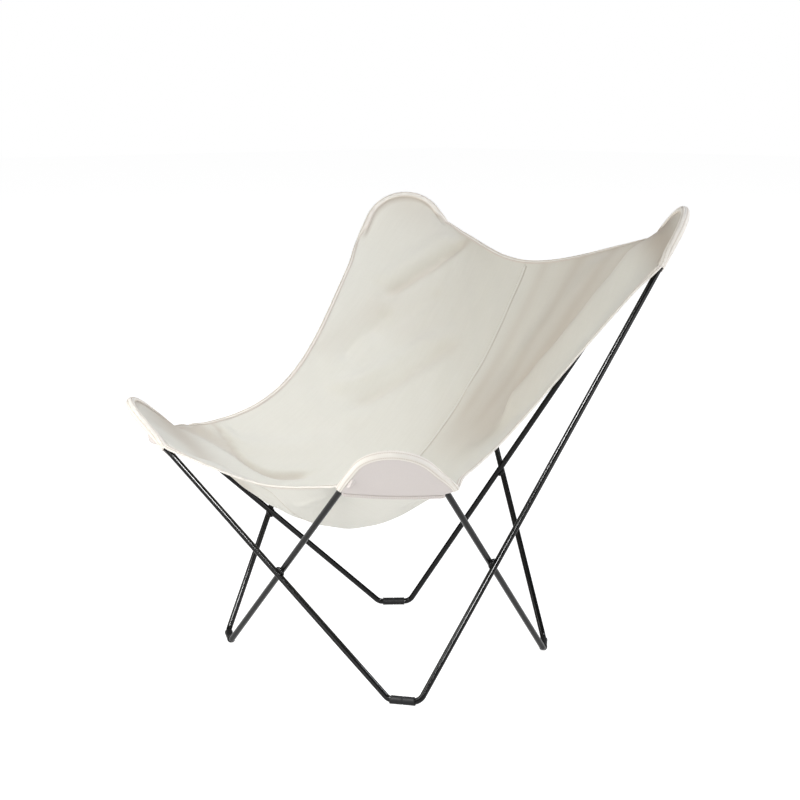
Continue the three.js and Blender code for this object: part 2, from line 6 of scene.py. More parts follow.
import bpy
import numpy as np
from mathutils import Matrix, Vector


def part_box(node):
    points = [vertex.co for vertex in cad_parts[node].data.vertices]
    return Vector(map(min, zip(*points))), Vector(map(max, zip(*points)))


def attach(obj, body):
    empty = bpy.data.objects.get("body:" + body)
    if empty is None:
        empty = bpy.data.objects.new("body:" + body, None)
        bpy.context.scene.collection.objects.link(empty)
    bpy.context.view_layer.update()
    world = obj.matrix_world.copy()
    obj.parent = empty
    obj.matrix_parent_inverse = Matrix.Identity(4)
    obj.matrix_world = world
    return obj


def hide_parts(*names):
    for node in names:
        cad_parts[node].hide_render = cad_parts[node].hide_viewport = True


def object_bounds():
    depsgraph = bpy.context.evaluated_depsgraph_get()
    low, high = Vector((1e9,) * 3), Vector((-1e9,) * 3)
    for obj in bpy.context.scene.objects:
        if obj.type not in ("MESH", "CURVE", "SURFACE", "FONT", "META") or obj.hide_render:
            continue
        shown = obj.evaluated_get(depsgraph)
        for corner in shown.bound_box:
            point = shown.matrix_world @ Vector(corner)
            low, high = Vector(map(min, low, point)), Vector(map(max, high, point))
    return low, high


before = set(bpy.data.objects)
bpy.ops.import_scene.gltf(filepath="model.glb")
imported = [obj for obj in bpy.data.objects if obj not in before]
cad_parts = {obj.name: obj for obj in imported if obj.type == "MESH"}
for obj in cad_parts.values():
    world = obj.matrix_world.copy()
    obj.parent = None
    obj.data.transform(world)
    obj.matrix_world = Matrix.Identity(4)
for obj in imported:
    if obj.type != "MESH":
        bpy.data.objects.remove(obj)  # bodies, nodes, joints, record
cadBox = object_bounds()

mm = 0.001
fitGap = 0.3 * mm
scene = bpy.context.scene
otherEnd = {"front": "back", "back": "front"}
nearestBatch = 1000


# Small helpers on arrays of points

def unit(vectors):
    return vectors / np.linalg.norm(vectors, axis=-1, keepdims=True)


def lerp(a, b, share):
    return a + (b - a) * share


def ease(share):
    t = np.clip(share, 0, 1)
    return t * t * (3 - 2 * t)


def bell(distance, width):
    return np.exp(-((distance / width) ** 2))


def dots(a, b):
    return np.sum(a * b, axis=-1, keepdims=True)


def summed(steps, axis=0):
    # running total of the steps, from 0
    return np.insert(np.cumsum(steps, axis=axis), 0, 0, axis=axis)


def stepLengths(points, axis=0):
    return np.linalg.norm(np.diff(points, axis=axis), axis=-1)


def lengthsAlong(line):
    return summed(stepLengths(line))


def atLengths(values, running, lengths):
    # what a line's points hold, read between them at lengths along it
    columns = values.reshape(len(values), -1).T
    found = np.stack([np.interp(lengths, running, column) for column in columns], axis=1)
    return found.reshape(len(lengths), *values.shape[1:])


def evenly(line, count):
    # the line again as count + 1 points that are equally far apart along it
    running = lengthsAlong(line)
    return atLengths(line, running, np.linspace(0, running[-1], count + 1))


def bezier(start, startReach, finishReach, finish, count):
    # cubic curve from start to finish that leaves along startReach and arrives along finishReach
    t = np.linspace(0, 1, 4 * count)[:, None]
    u = 1 - t
    first, second = start + startReach, finish + finishReach
    return evenly(u**3 * start + 3 * u * u * t * first + 3 * u * t * t * second + t**3 * finish, count)


def windows(values, steps, axis=0):
    # for each value those that lie within some steps of it; the first and last stand for what is past them
    pad = [(steps, steps) if k == axis else (0, 0) for k in range(values.ndim)]
    padded = np.pad(values, pad, mode="edge")
    return np.lib.stride_tricks.sliding_window_view(padded, 2 * steps + 1, axis=axis)


def smooth(values, steps, axis=0):
    # a mean weighted by a bell over some steps to both sides
    weights = np.hanning(2 * steps + 3)[1:-1]
    return windows(values, steps, axis) @ (weights / weights.sum())


def nearestOf(points, others):
    # which of the others is nearest to each point, and how far away it is
    parts = np.array_split(points, len(points) // nearestBatch + 1)
    found = [((part[:, None] - others) ** 2).sum(axis=2).argmin(axis=1) for part in parts]
    found = np.concatenate(found)
    return found, np.linalg.norm(points - others[found], axis=1)


def onSide(vector, side):
    return np.array([side * vector[0], *vector[1:]])


def sideName(side):
    return "left" if side < 0 else "right"


def cornerName(end, side):
    return f"{end}_{sideName(side)}"


# Meshes

def gridQuads(rows, columns, closed=False, looped=False):
    # quads between neighbouring points of a grid that is numbered row by row; closed joins the
    # last column to the first, looped the last row to the first
    size = (rows if looped else rows - 1, columns if closed else columns - 1)
    row, column = np.indices(size).reshape(2, -1)
    nextRow, nextColumn = (row + 1) % rows * columns, (column + 1) % columns
    row = row * columns
    return np.stack([row + column, row + nextColumn, nextRow + nextColumn, nextRow + column], axis=1)


def faceNormals(points, quads):
    return np.cross(points[quads[:, 2]] - points[quads[:, 0]], points[quads[:, 3]] - points[quads[:, 1]])


def pointNormals(points, quads):
    # the sum of the normals of the faces round each point, made one long
    total = np.zeros_like(points)
    for corner in quads.T:
        np.add.at(total, corner, faceNormals(points, quads))
    return unit(total)


def gridNormals(grid):
    return unit(np.cross(np.gradient(grid, axis=1), np.gradient(grid, axis=0)))


def meshPiece(name, points, quads, material, slot, stands=(), uv=None, shades=(), caps=(),
              sharpAngle=None):
    mesh = bpy.data.meshes.new(name)
    mesh.from_pydata(points.tolist(), [], quads.tolist() + [cap.tolist() for cap in caps])
    mesh.materials.append(material)
    mesh.shade_smooth()
    if sharpAngle:
        mesh.set_sharp_from_angle(angle=math.radians(sharpAngle))
    if uv is not None:
        corners = np.zeros(len(mesh.loops), np.int32)
        mesh.loops.foreach_get("vertex_index", corners)
        layer = mesh.uv_layers.new(name="cloth")
        layer.data.foreach_set("uv", np.ascontiguousarray(uv[corners], np.float32).ravel())
    for shade, values in dict(shades).items():
        layer = mesh.attributes.new(shade, "FLOAT", "POINT")
        layer.data.foreach_set("value", np.ascontiguousarray(values, np.float32))
    mesh.update()
    piece = bpy.data.objects.new(name, mesh)
    scene.collection.objects.link(piece)
    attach(piece, "root")
    if stands:
        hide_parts(*stands)
    return piece


def tubePiece(name, tubes, *looks, looped=False, **more):
    # tubes through rings of points, capped at their ends or joined round into loops, and turned
    # so that their faces point out, which the sign of their volume tells
    tubes = tubes.reshape(-1, *tubes.shape[-3:])
    number, count, around = tubes.shape[:3]
    points = tubes.reshape(-1, 3)
    starts = np.arange(number)[:, None] * count * around
    quads = (gridQuads(count, around, True, looped) + starts[..., None]).reshape(-1, 4)
    rim = np.arange(around)
    caps = np.concatenate([starts + rim[::-1], starts + (count - 1) * around + rim])
    caps = caps[:0] if looped else caps
    a, b, c, d = (points[corner] for corner in quads.T)
    fans = points[caps]
    volume = np.sum(a * np.cross(b, c) + a * np.cross(c, d))
    volume += np.sum(fans[:, :1] * np.cross(fans[:, 1:-1], fans[:, 2:]))
    if volume < 0:
        quads, caps = quads[:, ::-1], caps[:, ::-1]
    return meshPiece(name, points, quads, *looks, caps=caps, **more)


# Node trees

class Nodes:
    # the nodes in front of the shader of a material or of the world
    def __init__(self, owner, shader="Principled BSDF", **sockets):
        owner.use_nodes = True
        self.owner, self.tree = owner, owner.node_tree
        self.shader = self.tree.nodes[shader]
        for socket, value in sockets.items():
            self.shader.inputs[socket.replace("_", " ")].default_value = value

    def add(self, kind, links=(), **settings):
        node = self.tree.nodes.new("ShaderNode" + kind)
        for key, value in settings.items():
            setattr(node, key, value)
        for socket, value in dict(links).items():
            if isinstance(value, bpy.types.NodeSocket):
                self.tree.links.new(value, node.inputs[socket])
            else:
                node.inputs[socket].default_value = value
        return node

    def math(self, operation, a, b=0.0, c=0.0, **settings):
        return self.add("Math", {0: a, 1: b, 2: c}, operation=operation, **settings).outputs[0]

    def noise(self, vector, scale, detail=2.0, roughness=0.5):
        links = {"Vector": vector, "Scale": scale, "Detail": detail, "Roughness": roughness}
        return self.add("TexNoise", links).outputs["Fac"]

    def stretch(self, vector, across, along):
        return self.add("Mapping", {"Vector": vector, "Scale": (across, along, 1)}).outputs[0]

    def between(self, value, low, high, start=0.0):
        # a value that goes from start to 1 spread from low to high
        links = {"Value": value, "From Min": start, "To Min": low, "To Max": high}
        return self.add("MapRange", links).outputs[0]

    def mixColour(self, share, a, b):
        # the Mix node's colours come in at its sockets 6 and 7 and leave at 2
        return self.add("Mix", {0: share, 6: a, 7: b}, data_type="RGBA").outputs[2]

    def attribute(self, name):
        return self.add("Attribute", attribute_name=name).outputs["Fac"]

    def cameraSees(self):
        return self.add("LightPath").outputs["Is Camera Ray"]

    def into(self, socket, value):
        self.tree.links.new(value, self.shader.inputs[socket])

    def bump(self, height, distance, strength=1.0, **more):
        links = {"Height": height, "Distance": distance, "Strength": strength, **more}
        return self.add("Bump", links).outputs["Normal"]


# Camera, floor and light

camera = {
    "azimuth": 46.57, "elevation": 9.68, "distance": 3.5101, "lens": 77.88, "sensor": 36,
    "target": (-4.94 * mm, -5.21 * mm, 511.92 * mm),
}
studio = {
    "floorSize": 60, "floorColour": (0.3, 0.3, 0.3, 1), "floorSeen": 0.97, "floorLights": 0.66,
    "floorRoughness": 0.9, "backdrop": (1, 1, 1, 1), "ambient": (0.05, 0.05, 0.05, 1),
}
# Glints only show in the paint, as thin lines on the rods
lamps = {
    "key": {"power": 940, "size": 3.5, "place": (4.96, 5.5, 9.6), "colour": (0.915, 0.935, 1)},
    "fill": {"power": 31, "size": 1.2, "place": (-0.5, -1.85, 1.5), "colour": (1, 0.995, 0.975)},
    "rightLow": {"power": 11, "size": 1, "place": (2.2, 0.4, 0.6)},
    "frontLow": {"power": 9, "size": 1, "place": (0.3, -2.2, 0.6)},
    "glintHigh": {"power": 100, "size": 0.5, "place": (0.7, -2.0, 2.45)},
    "glintLow": {"power": 60, "size": 0.5, "place": (1.9, -1.85, 1.2)},
}


def aimed(name, data, place, aim):
    # a camera or a lamp at its place, looking along aim
    item = bpy.data.objects.new(name, data)
    item.location = place
    item.rotation_euler = aim.to_track_quat("-Z", "Y").to_euler()
    scene.collection.objects.link(item)
    return item


def makeCamera(origin):
    a, e = math.radians(camera["azimuth"]), math.radians(camera["elevation"])
    back = Vector((math.sin(a) * math.cos(e), -math.cos(a) * math.cos(e), math.sin(e)))
    data = bpy.data.cameras.new("camera")
    data.lens = camera["lens"]
    data.sensor_width = camera["sensor"]
    place = Vector(camera["target"]) + Vector(origin) + back * camera["distance"]
    scene.camera = aimed("camera", data, place, -back)


def softbox(name, lamp):
    data = bpy.data.lights.new(name, "AREA")
    data.energy = lamp["power"]
    data.color = lamp.get("colour", (1, 1, 1))
    data.size = lamp["size"]
    aim = Vector((0, 0, cadBox[1].z / 2)) - Vector(lamp["place"])
    aimed(name, data, lamp["place"], aim).visible_diffuse = not name.startswith("glint")


def makeStudio():
    # a white room: the camera sees it brighter than it lights the chair
    scene.world = bpy.data.worlds.new("studio")
    scene.view_settings.view_transform = "Standard"
    room = Nodes(scene.world, "Background")
    room.into("Color", room.mixColour(room.cameraSees(), studio["ambient"], studio["backdrop"]))
    for name, lamp in lamps.items():
        softbox(name, lamp)
    half = studio["floorSize"] / 2
    mesh = bpy.data.meshes.new("floor")
    corners = [(-half, -half, 0), (half, -half, 0), (half, half, 0), (-half, half, 0)]
    mesh.from_pydata(corners, [], [(0, 1, 2, 3)])
    paper = Nodes(bpy.data.materials.new("palePaper"), Base_Color=studio["floorColour"],
                  Roughness=studio["floorRoughness"], Emission_Color=studio["backdrop"])
    glow = paper.between(paper.cameraSees(), studio["floorLights"], studio["floorSeen"])
    paper.into("Emission Strength", glow)
    mesh.materials.append(paper.owner)
    floor = bpy.data.objects.new("floor", mesh)
    scene.collection.objects.link(floor)


# Materials: each is a Principled shader with a few nodes in front of it. Colours are linear

paint = {
    "colour": (0.003, 0.003, 0.0032, 1), "wornColour": (0.009, 0.0088, 0.0085, 1), "roughness": (0.1, 0.2),
    "coat": 0.1, "coatRoughness": 0.05, "specular": 0.2,
    "clouds": (18, 4.0, 0.6), "grainScale": 900, "grainHeight": 0.03 * mm,
}
plastic = {
    "colour": (0.012, 0.012, 0.0125, 1), "wornColour": (0.022, 0.022, 0.023, 1), "roughness": (0.42, 0.62),
    "specular": 0.22, "clouds": (60, 6.0, 0.7), "grainScale": 2600, "grainHeight": 0.04 * mm, "scuffs": 3.0,
}
# threadPitch is the spacing of the yarns on the flat cloth; a noise's scale, detail and
# roughness stand in one bracket
canvas = {
    "colour": (0.80, 0.79, 0.72, 1), "shade": (0.72, 0.705, 0.635, 1), "warm": (0.79, 0.765, 0.69, 1),
    "roughness": (0.86, 0.97), "sheen": 0.16, "sheenRoughness": 0.5, "specular": 0.2,
    "threadPitch": 0.9 * mm, "threadHeight": 0.16 * mm, "threadStrength": 0.8, "slubHeight": 0.6,
    "slubLength": 28, "slubWidth": 900, "slubDetail": 3.0, "slubShades": (-0.2, 1.0),
    "blotches": (7, 5.0, 0.6), "blotchShades": (-0.1, 0.6), "poreShare": 0.35, "porePower": 3.0,
    "softScale": 42, "softDetail": 3.0, "softStrength": 0.5, "softHeight": 0.5 * mm,
    "streak": (0.6, 0.575, 0.5, 1), "streakWidth": 170, "streakLength": 7, "streakDetail": (4.0, 0.6),
    "streakShare": 0.25, "streakFloor": 0.4,
    # the next line's colours are painted shade: brown strips where folds and stretches of the sling lie in
    # shade, and dark lines along stitches, hem borders and where the cloth dips behind a rod
    "paintedShade": (0.53, 0.455, 0.37, 1), "creaseShade": (0.42, 0.32, 0.25, 1), "creaseShare": 0.75,
}
# the binding round the rims and on the hems: a paler tape, its paleness partly painted light for the bound
# rim round the rod, which faces up and to the front
litBinding = {
    **canvas, "colour": (0.88, 0.85, 0.79, 1), "shade": (0.81, 0.77, 0.7, 1),
    "warm": (0.87, 0.82, 0.75, 1), "threadPitch": 0.8 * mm,
}
# the pockets' undersides: a darker, pinker copy of the canvas, painted shade standing in for the light that
# shines through the sling's single layer but not through a pocket
shadedLining = {
    **canvas, "colour": (0.70, 0.645, 0.625, 1), "shade": (0.62, 0.575, 0.55, 1),
    "warm": (0.71, 0.655, 0.615, 1),
}
thread = {
    "colour": (0.66, 0.58, 0.47, 1), "shade": (0.52, 0.44, 0.34, 1), "roughness": 0.8, "sheen": 0.3,
    "specular": 0.3, "twistScale": 3000, "twistHeight": 0.1 * mm,
}


def hardMaterial(name, hard, **sockets):
    # black paint or plastic: soft clouds in its gloss and tone, and a fine grain or orange peel
    look = Nodes(bpy.data.materials.new(name), Specular_IOR_Level=hard["specular"], **sockets)
    place = look.add("TexCoord").outputs["Object"]
    clouds = look.noise(place, *hard["clouds"])
    worn = look.math("POWER", clouds, hard["scuffs"]) if "scuffs" in hard else clouds
    look.into("Base Color", look.mixColour(worn, hard["colour"], hard["wornColour"]))
    look.into("Roughness", look.between(clouds, *hard["roughness"]))
    look.into("Normal", look.bump(look.noise(place, hard["grainScale"]), hard["grainHeight"]))
    return look.owner


def clothMaterial(name, cloth):
    # plain weave: warp and weft ridges take turns, with slubs along both and soft blotches over all
    look = Nodes(bpy.data.materials.new(name), Sheen_Weight=cloth["sheen"],
                 Sheen_Roughness=cloth["sheenRoughness"], Specular_IOR_Level=cloth["specular"])
    coordinates = look.add("TexCoord")
    flat, place = coordinates.outputs["UV"], coordinates.outputs["Object"]
    split = look.add("SeparateXYZ", {0: flat}).outputs
    turn = math.pi / cloth["threadPitch"]
    across, along = (look.math("SINE", look.math("MULTIPLY", split[k], turn)) for k in (0, 1))
    turns = look.between(look.math("MULTIPLY", across, along), 0.0, 1.0, -1.0)
    warp, weft = look.math("ABSOLUTE", across), look.math("ABSOLUTE", along)
    weave = look.math("ADD", look.math("MULTIPLY", warp, turns),
                      look.math("MULTIPLY", weft, look.math("SUBTRACT", 1.0, turns)))
    slubSizes = cloth["slubWidth"], cloth["slubLength"]
    slubsAlong, slubsAcross = (
        look.noise(look.stretch(flat, *sizes), 1.0, cloth["slubDetail"])
        for sizes in (slubSizes, slubSizes[::-1]))
    slubs = look.math("ADD", slubsAlong, slubsAcross)
    blotches = look.noise(place, *cloth["blotches"])
    slubShade = look.between(look.math("MULTIPLY", slubs, 0.5), *cloth["slubShades"])
    tone = look.mixColour(slubShade, cloth["colour"], cloth["shade"])
    tone = look.mixColour(look.between(blotches, *cloth["blotchShades"]), tone, cloth["warm"])
    streaks = look.stretch(flat, cloth["streakWidth"], cloth["streakLength"])
    streaks = look.math("SUBTRACT", look.noise(streaks, 1.0, *cloth["streakDetail"]), cloth["streakFloor"])
    streaks = look.math("MULTIPLY", streaks, cloth["streakShare"], use_clamp=True)
    tone = look.mixColour(streaks, tone, cloth["streak"])
    pores = look.math("POWER", look.math("SUBTRACT", 1.0, weave), cloth["porePower"])
    tone = look.mixColour(look.math("MULTIPLY", pores, cloth["poreShare"]), tone, cloth["shade"])
    # painted shade: the strips of shade along folds and shaded stretches, then dark lines along stitches,
    # hem borders and where the cloth dips behind a rod
    tone = look.mixColour(look.attribute("paintedShade"), tone, cloth["paintedShade"])
    creaseShade = look.math("MULTIPLY", look.attribute("creaseShade"), cloth["creaseShare"])
    look.into("Base Color", look.mixColour(creaseShade, tone, cloth["creaseShade"]))
    look.into("Roughness", look.between(slubsAlong, *cloth["roughness"]))
    soft = look.noise(place, cloth["softScale"], cloth["softDetail"])
    soft = look.bump(soft, cloth["softHeight"], cloth["softStrength"])
    height = look.math("MULTIPLY_ADD", slubs, cloth["slubHeight"], weave)
    look.into("Normal", look.bump(height, cloth["threadHeight"], cloth["threadStrength"], Normal=soft))
    return look.owner


def threadMaterial():
    # cotton thread: twisted, a little darker than the cloth that it sinks into
    look = Nodes(bpy.data.materials.new("cottonThread"), Roughness=thread["roughness"],
                 Sheen_Weight=thread["sheen"], Specular_IOR_Level=thread["specular"])
    twist = look.noise(look.add("TexCoord").outputs["Object"], thread["twistScale"])
    look.into("Base Color", look.mixColour(twist, thread["shade"], thread["colour"]))
    look.into("Normal", look.bump(twist, thread["twistHeight"]))
    return look.owner


paintLook = hardMaterial("glossBlackPaint", paint, Coat_Weight=paint["coat"],
                         Coat_Roughness=paint["coatRoughness"])
plasticLook = hardMaterial("satinBlackPlastic", plastic)
canvasLook = clothMaterial("naturalCanvas", canvas)
litBindingLook = clothMaterial("canvasBindingLit", litBinding)
shadedLiningLook = clothMaterial("shadedPocketLining", shadedLining)
threadLook = threadMaterial()
print("materials made")


# Frame: the lines of the four rods, worked out as the solids' were

rod = {
    "radius": 6 * mm, "footBend": 20 * mm, "sides": 40, "bendSteps": 16, "earSteps": 72,
    "spacingRounds": 20,
}
footGeometry = {
    "front": {"halfSpan": 265.3 * mm, "out": -250.6 * mm, "halfRun": 30 * mm, "turn": 31.6},
    "back": {"halfSpan": 223.7 * mm, "out": 185.6 * mm, "halfRun": 33.6 * mm, "turn": -48.9},
}
earGeometry = {
    "front": {"apex": np.array([461, -452.3, 598.6]) * mm, "radius": 71.7 * mm},
    "back": {"apex": np.array([483.2, 480, 1111.3]) * mm, "radius": 83.6 * mm},
}
sleeve = {
    "length": 47 * mm, "wall": 1.7 * mm, "soleDepth": 0.5 * mm, "endRound": 0.8 * mm, "lipWidth": 2.4 * mm,
    "lipHeight": 0.35 * mm, "grooveWidth": 1.6 * mm, "grooveDepth": 0.7 * mm, "sides": 48, "steps": 120,
    "sharpAngle": 40,
}
footHeight = rod["radius"] + fitGap + sleeve["wall"] - sleeve["soleDepth"]


def footPoint(end, side, run=0):
    # the middle of a foot, or its corner towards the inside (-1) or the outside (1)
    foot = footGeometry[end]
    turn = math.radians(foot["turn"])
    along = np.array([math.cos(turn), math.sin(turn), 0])
    middle = np.array([foot["halfSpan"], foot["out"], footHeight])
    return onSide(middle + along * foot["halfRun"] * run, side)


def earCorners(end, side):
    return {
        "ear": onSide(earGeometry[end]["apex"], side), "across": footPoint(end, -side, -1),
        "along": footPoint(otherEnd[end], side, 1),
    }


def loopOf(end, side):
    return -side if end == "front" else side


forwards, rightwards = np.array([0, -1, 0]), np.array([1, 0, 0])
crossings = {
    "front": (("front", -1, "across"), ("front", 1, "across"), forwards),
    "back": (("back", 1, "across"), ("back", -1, "across"), forwards),
    "right": (("back", 1, "along"), ("front", 1, "along"), rightwards),
    "left": (("front", -1, "along"), ("back", -1, "along"), rightwards),
}
loopShift = dict.fromkeys(crossings, 0.0)


def shifted(point, loop):
    end = "front" if point[1] < 0 else "back"
    return point + loop * (forwards * loopShift[end] + rightwards * loopShift[sideName(point[0])])


def shiftedLeg(end, side, which):
    corners = earCorners(end, side)
    return [shifted(corners[key], loopOf(end, side)) for key in ("ear", which)]


# The two loops of rod move apart at each crossing until they just clear each other there
for spacingRound in range(rod["spacingRounds"]):
    for crossing, (one, two, way) in crossings.items():
        legs = [shiftedLeg(*key) for key in (one, two)]
        normal = unit(np.cross(legs[0][1] - legs[0][0], legs[1][1] - legs[1][0]))
        normal = normal * np.sign(normal @ way)
        apart = (legs[0][0] - legs[1][0]) @ normal
        loopShift[crossing] += (2 * rod["radius"] + fitGap - apart) / (2 * normal @ way)


def roundedPath(corners, radii, steps):
    # straight runs joined by round bends: a bend's point is its start plus the radius
    # times (sine along the way in, one less cosine along the way inwards)
    points, tangents = [corners[0]], [unit(corners[1] - corners[0])]
    for before, corner, after, radius, count in zip(corners, corners[1:], corners[2:], radii, steps):
        into, out = unit(corner - before), unit(after - corner)
        turn = math.acos(into @ out)
        inward = unit(out - into * (into @ out))
        start = corner - into * radius * math.tan(turn / 2)
        angle = np.linspace(0, turn, count + 1)[:, None]
        points.extend(start + radius * (np.sin(angle) * into + (1 - np.cos(angle)) * inward))
        tangents.extend(np.cos(angle) * into + np.sin(angle) * inward)
    points.append(corners[-1])
    tangents.append(unit(corners[-1] - corners[-2]))
    return np.array(points), np.array(tangents)


def rodPath(end, side):
    corners = earCorners(end, side)
    acrossFoot, alongFoot = footPoint(end, -side), footPoint(otherEnd[end], side)
    places = [acrossFoot, corners["across"], corners["ear"], corners["along"], alongFoot]
    places = [shifted(place, loopOf(end, side)) for place in places]
    for first, second in ((0, 1), (-1, -2)):
        places[first] = places[first] + unit(places[second] - places[first]) * fitGap / 2
    radii = [rod["footBend"], earGeometry[end]["radius"], rod["footBend"]]
    return roundedPath(places, radii, [rod["bendSteps"], rod["earSteps"], rod["bendSteps"]])


rodPaths = {(end, side): rodPath(end, side) for end in otherEnd for side in (-1, 1)}


def originShift():
    # the solids' origin against the sizes above, from the middles of the rods' boxes
    shifts = []
    for corner, (points, _) in rodPaths.items():
        low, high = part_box(f"{cornerName(*corner)}_rod")
        shifts.append((np.array(low) + np.array(high) - points.min(0) - points.max(0)) / 2)
    return np.mean(shifts, axis=0) * (1, 1, 0)


origin = originShift()
rodPaths = {key: (points + origin, tangents) for key, (points, tangents) in rodPaths.items()}
makeCamera(origin)
makeStudio()


def around(count):
    # the cosines and sines of a turn in equal steps
    angle = np.linspace(0, 2 * math.pi, count, endpoint=False)[:, None]
    return np.cos(angle), np.sin(angle)


def circleRings(points, tangents, radii, count):
    # a circle of each radius round each point of the path, square to it: the directions of the
    # first circle are carried on, turned as little as can be from one to the next
    side = unit(np.cross(tangents[0], (0.3, 0.2, 1)))
    a = [side]
    for tangent in tangents[1:]:
        side = unit(side - tangent * (side @ tangent))
        a.append(side)
    a = np.array(a)
    b = np.cross(tangents, a)
    cosine, sine = around(count)
    radii = np.broadcast_to(radii, len(points))[:, None, None]
    return points[:, None] + radii * (cosine * a[:, None] + sine * b[:, None])


for corner, (points, tangents) in rodPaths.items():
    name = f"{cornerName(*corner)}_rod"
    rings = circleRings(points, tangents, rod["radius"], rod["sides"])
    tubePiece(f"{name}_bent", rings, paintLook, "frame_paint", [name])
print("rods bent")


# Foot sleeves: a wall of plastic round the two rod ends, with a lip at each end, a groove
# round the middle where its two halves meet, and a flat sole

def sleevePiece(end, side):
    ears = [onSide(earGeometry[end]["apex"], -side), onSide(earGeometry[otherEnd[end]]["apex"], side)]
    corners = [ears[0], footPoint(end, side, -1), footPoint(end, side, 1), ears[1]]
    corners = [shifted(corner, loopOf(end, -side)) + origin for corner in corners]
    path, tangents = roundedPath(corners, [rod["footBend"]] * 2, [rod["bendSteps"]] * 2)
    running = lengthsAlong(path)
    middle = (running[rod["bendSteps"] + 1] + running[rod["bendSteps"] + 2]) / 2
    half = sleeve["length"] / 2
    at = np.linspace(-half, half, sleeve["steps"] + 1)
    points = atLengths(path, running, middle + at)
    ways = unit(atLengths(tangents, running, middle + at))
    # the lip eases off behind each end, the end's edge is a quarter round, the groove is a bell
    fromEnd = half - np.abs(at)
    lip = sleeve["lipHeight"] * (1 - ease(fromEnd / sleeve["lipWidth"] - 1 / 2))
    edge = np.clip(1 - fromEnd / sleeve["endRound"], 0, 1)
    rounding = sleeve["endRound"] * (1 - np.sqrt(1 - edge**2))
    groove = sleeve["grooveDepth"] * bell(at, sleeve["grooveWidth"] / 2)
    outer = rod["radius"] + fitGap + sleeve["wall"] + lip - rounding - groove
    outside = circleRings(points, ways, outer, sleeve["sides"])
    inside = circleRings(points, ways, rod["radius"] + fitGap / 2, sleeve["sides"])
    rings = np.concatenate([outside, inside[::-1]])
    rings[..., 2] = np.maximum(rings[..., 2], 0)
    name = f"{cornerName(end, side)}_foot_sleeve"
    tubePiece(f"{name}_moulded", rings, plasticLook, "foot_plastic", [name], looped=True,
              sharpAngle=sleeve["sharpAngle"])


for corner in rodPaths:
    sleevePiece(*corner)
print("foot sleeves moulded")


# Welds: a bead between two crossing rods

weld = {
    "reach": 10.5 * mm, "clearance": 0.05 * mm, "ripples": 22, "rippleShare": 0.05,
    "rings": 14, "spokes": 88,
}


def weldPiece(crossing):
    # a lens round the middle of the crossing, rippled at its border and cut back clear of both rods:
    # each rod's height over a point is the root of its radius squared less the offset squared
    one, two, _ = crossings[crossing]
    (fromA, toA), (fromB, toB) = ([point + origin for point in shiftedLeg(*key)] for key in (one, two))
    wayA, wayB = unit(toA - fromA), unit(toB - fromB)
    normal = unit(np.cross(wayA, wayB))
    apart = fromB - fromA
    slope = wayA @ wayB
    alongA = (apart @ wayA - slope * (apart @ wayB)) / (1 - slope * slope)
    halfGap = apart @ normal / 2
    centre = fromA + wayA * alongA + normal * halfGap
    cosine, sine = around(weld["spokes"])
    share = np.sin(np.linspace(0, math.pi / 2, weld["rings"] + 1))[1:, None]
    angle = np.linspace(0, 2 * math.pi, weld["spokes"], endpoint=False)
    reach = weld["reach"] * share * (1 + weld["rippleShare"] * np.abs(np.sin(weld["ripples"] / 2 * angle)))
    a = unit(wayA + wayB)
    flat = reach[..., None] * (cosine * a + sine * np.cross(normal, a))
    dome = abs(halfGap) * np.sqrt(np.clip(1 - share**2, 0, 1)) + 0 * reach
    clear = rod["radius"] + weld["clearance"]
    halves = []
    for way, turned in ((wayB, 1), (wayA, -1)):
        offset = np.linalg.norm(np.cross(flat, way), axis=-1)
        underRod = abs(halfGap) - np.sqrt(np.clip(clear**2 - offset**2, 0, None))
        height = turned * np.sign(halfGap) * np.minimum(dome, underRod)
        halves.append(centre + flat + height[..., None] * normal)
    rings = np.concatenate([halves[0], halves[1][-2::-1]])
    tubePiece(f"{crossing}_weld_bead", rings, paintLook, "frame_paint", [f"{crossing}_crossing_weld"])


for crossing in crossings:
    weldPiece(crossing)
print("welds laid")


# Sling: its outline over the rods and along its free edges. At each end, across and along are how
# far a pocket goes from its tip down its two legs

sling = {
    "thickness": 1.3 * mm, "halfColumns": 90, "earRows": 58, "freeRows": 92, "lift": 0.7 * mm,
    "front": {
        "across": 165 * mm, "along": 148 * mm, "inset": 18 * mm, "drop": 39 * mm, "middleReach": 65 * mm,
        "cornerReach": np.array([-78, -4, -16]) * mm, "edgeReach": np.array([-107, 254, 5]) * mm,
    },
    "back": {
        "across": 126 * mm, "along": 170 * mm, "inset": -44 * mm, "drop": 64 * mm, "middleReach": 112 * mm,
        "cornerReach": np.array([-96, 6, -16]) * mm, "edgeReach": np.array([-77, -214, -210]) * mm,
    },
    "sag": 1.4, "seatSag": 1.75, "seatPlace": 0.232, "seatWidth": 0.1, "acrossStiffness": 1.5,
    "dipMost": math.radians(75), "dipSteps": 3, "dipFade": 30 * mm,
    "channelDip": math.radians(52), "channelFade": 5 * mm, "channelCrease": 0.55,
}
clothLift = rod["radius"] + fitGap + sling["lift"]
seamColumn = sling["halfColumns"]


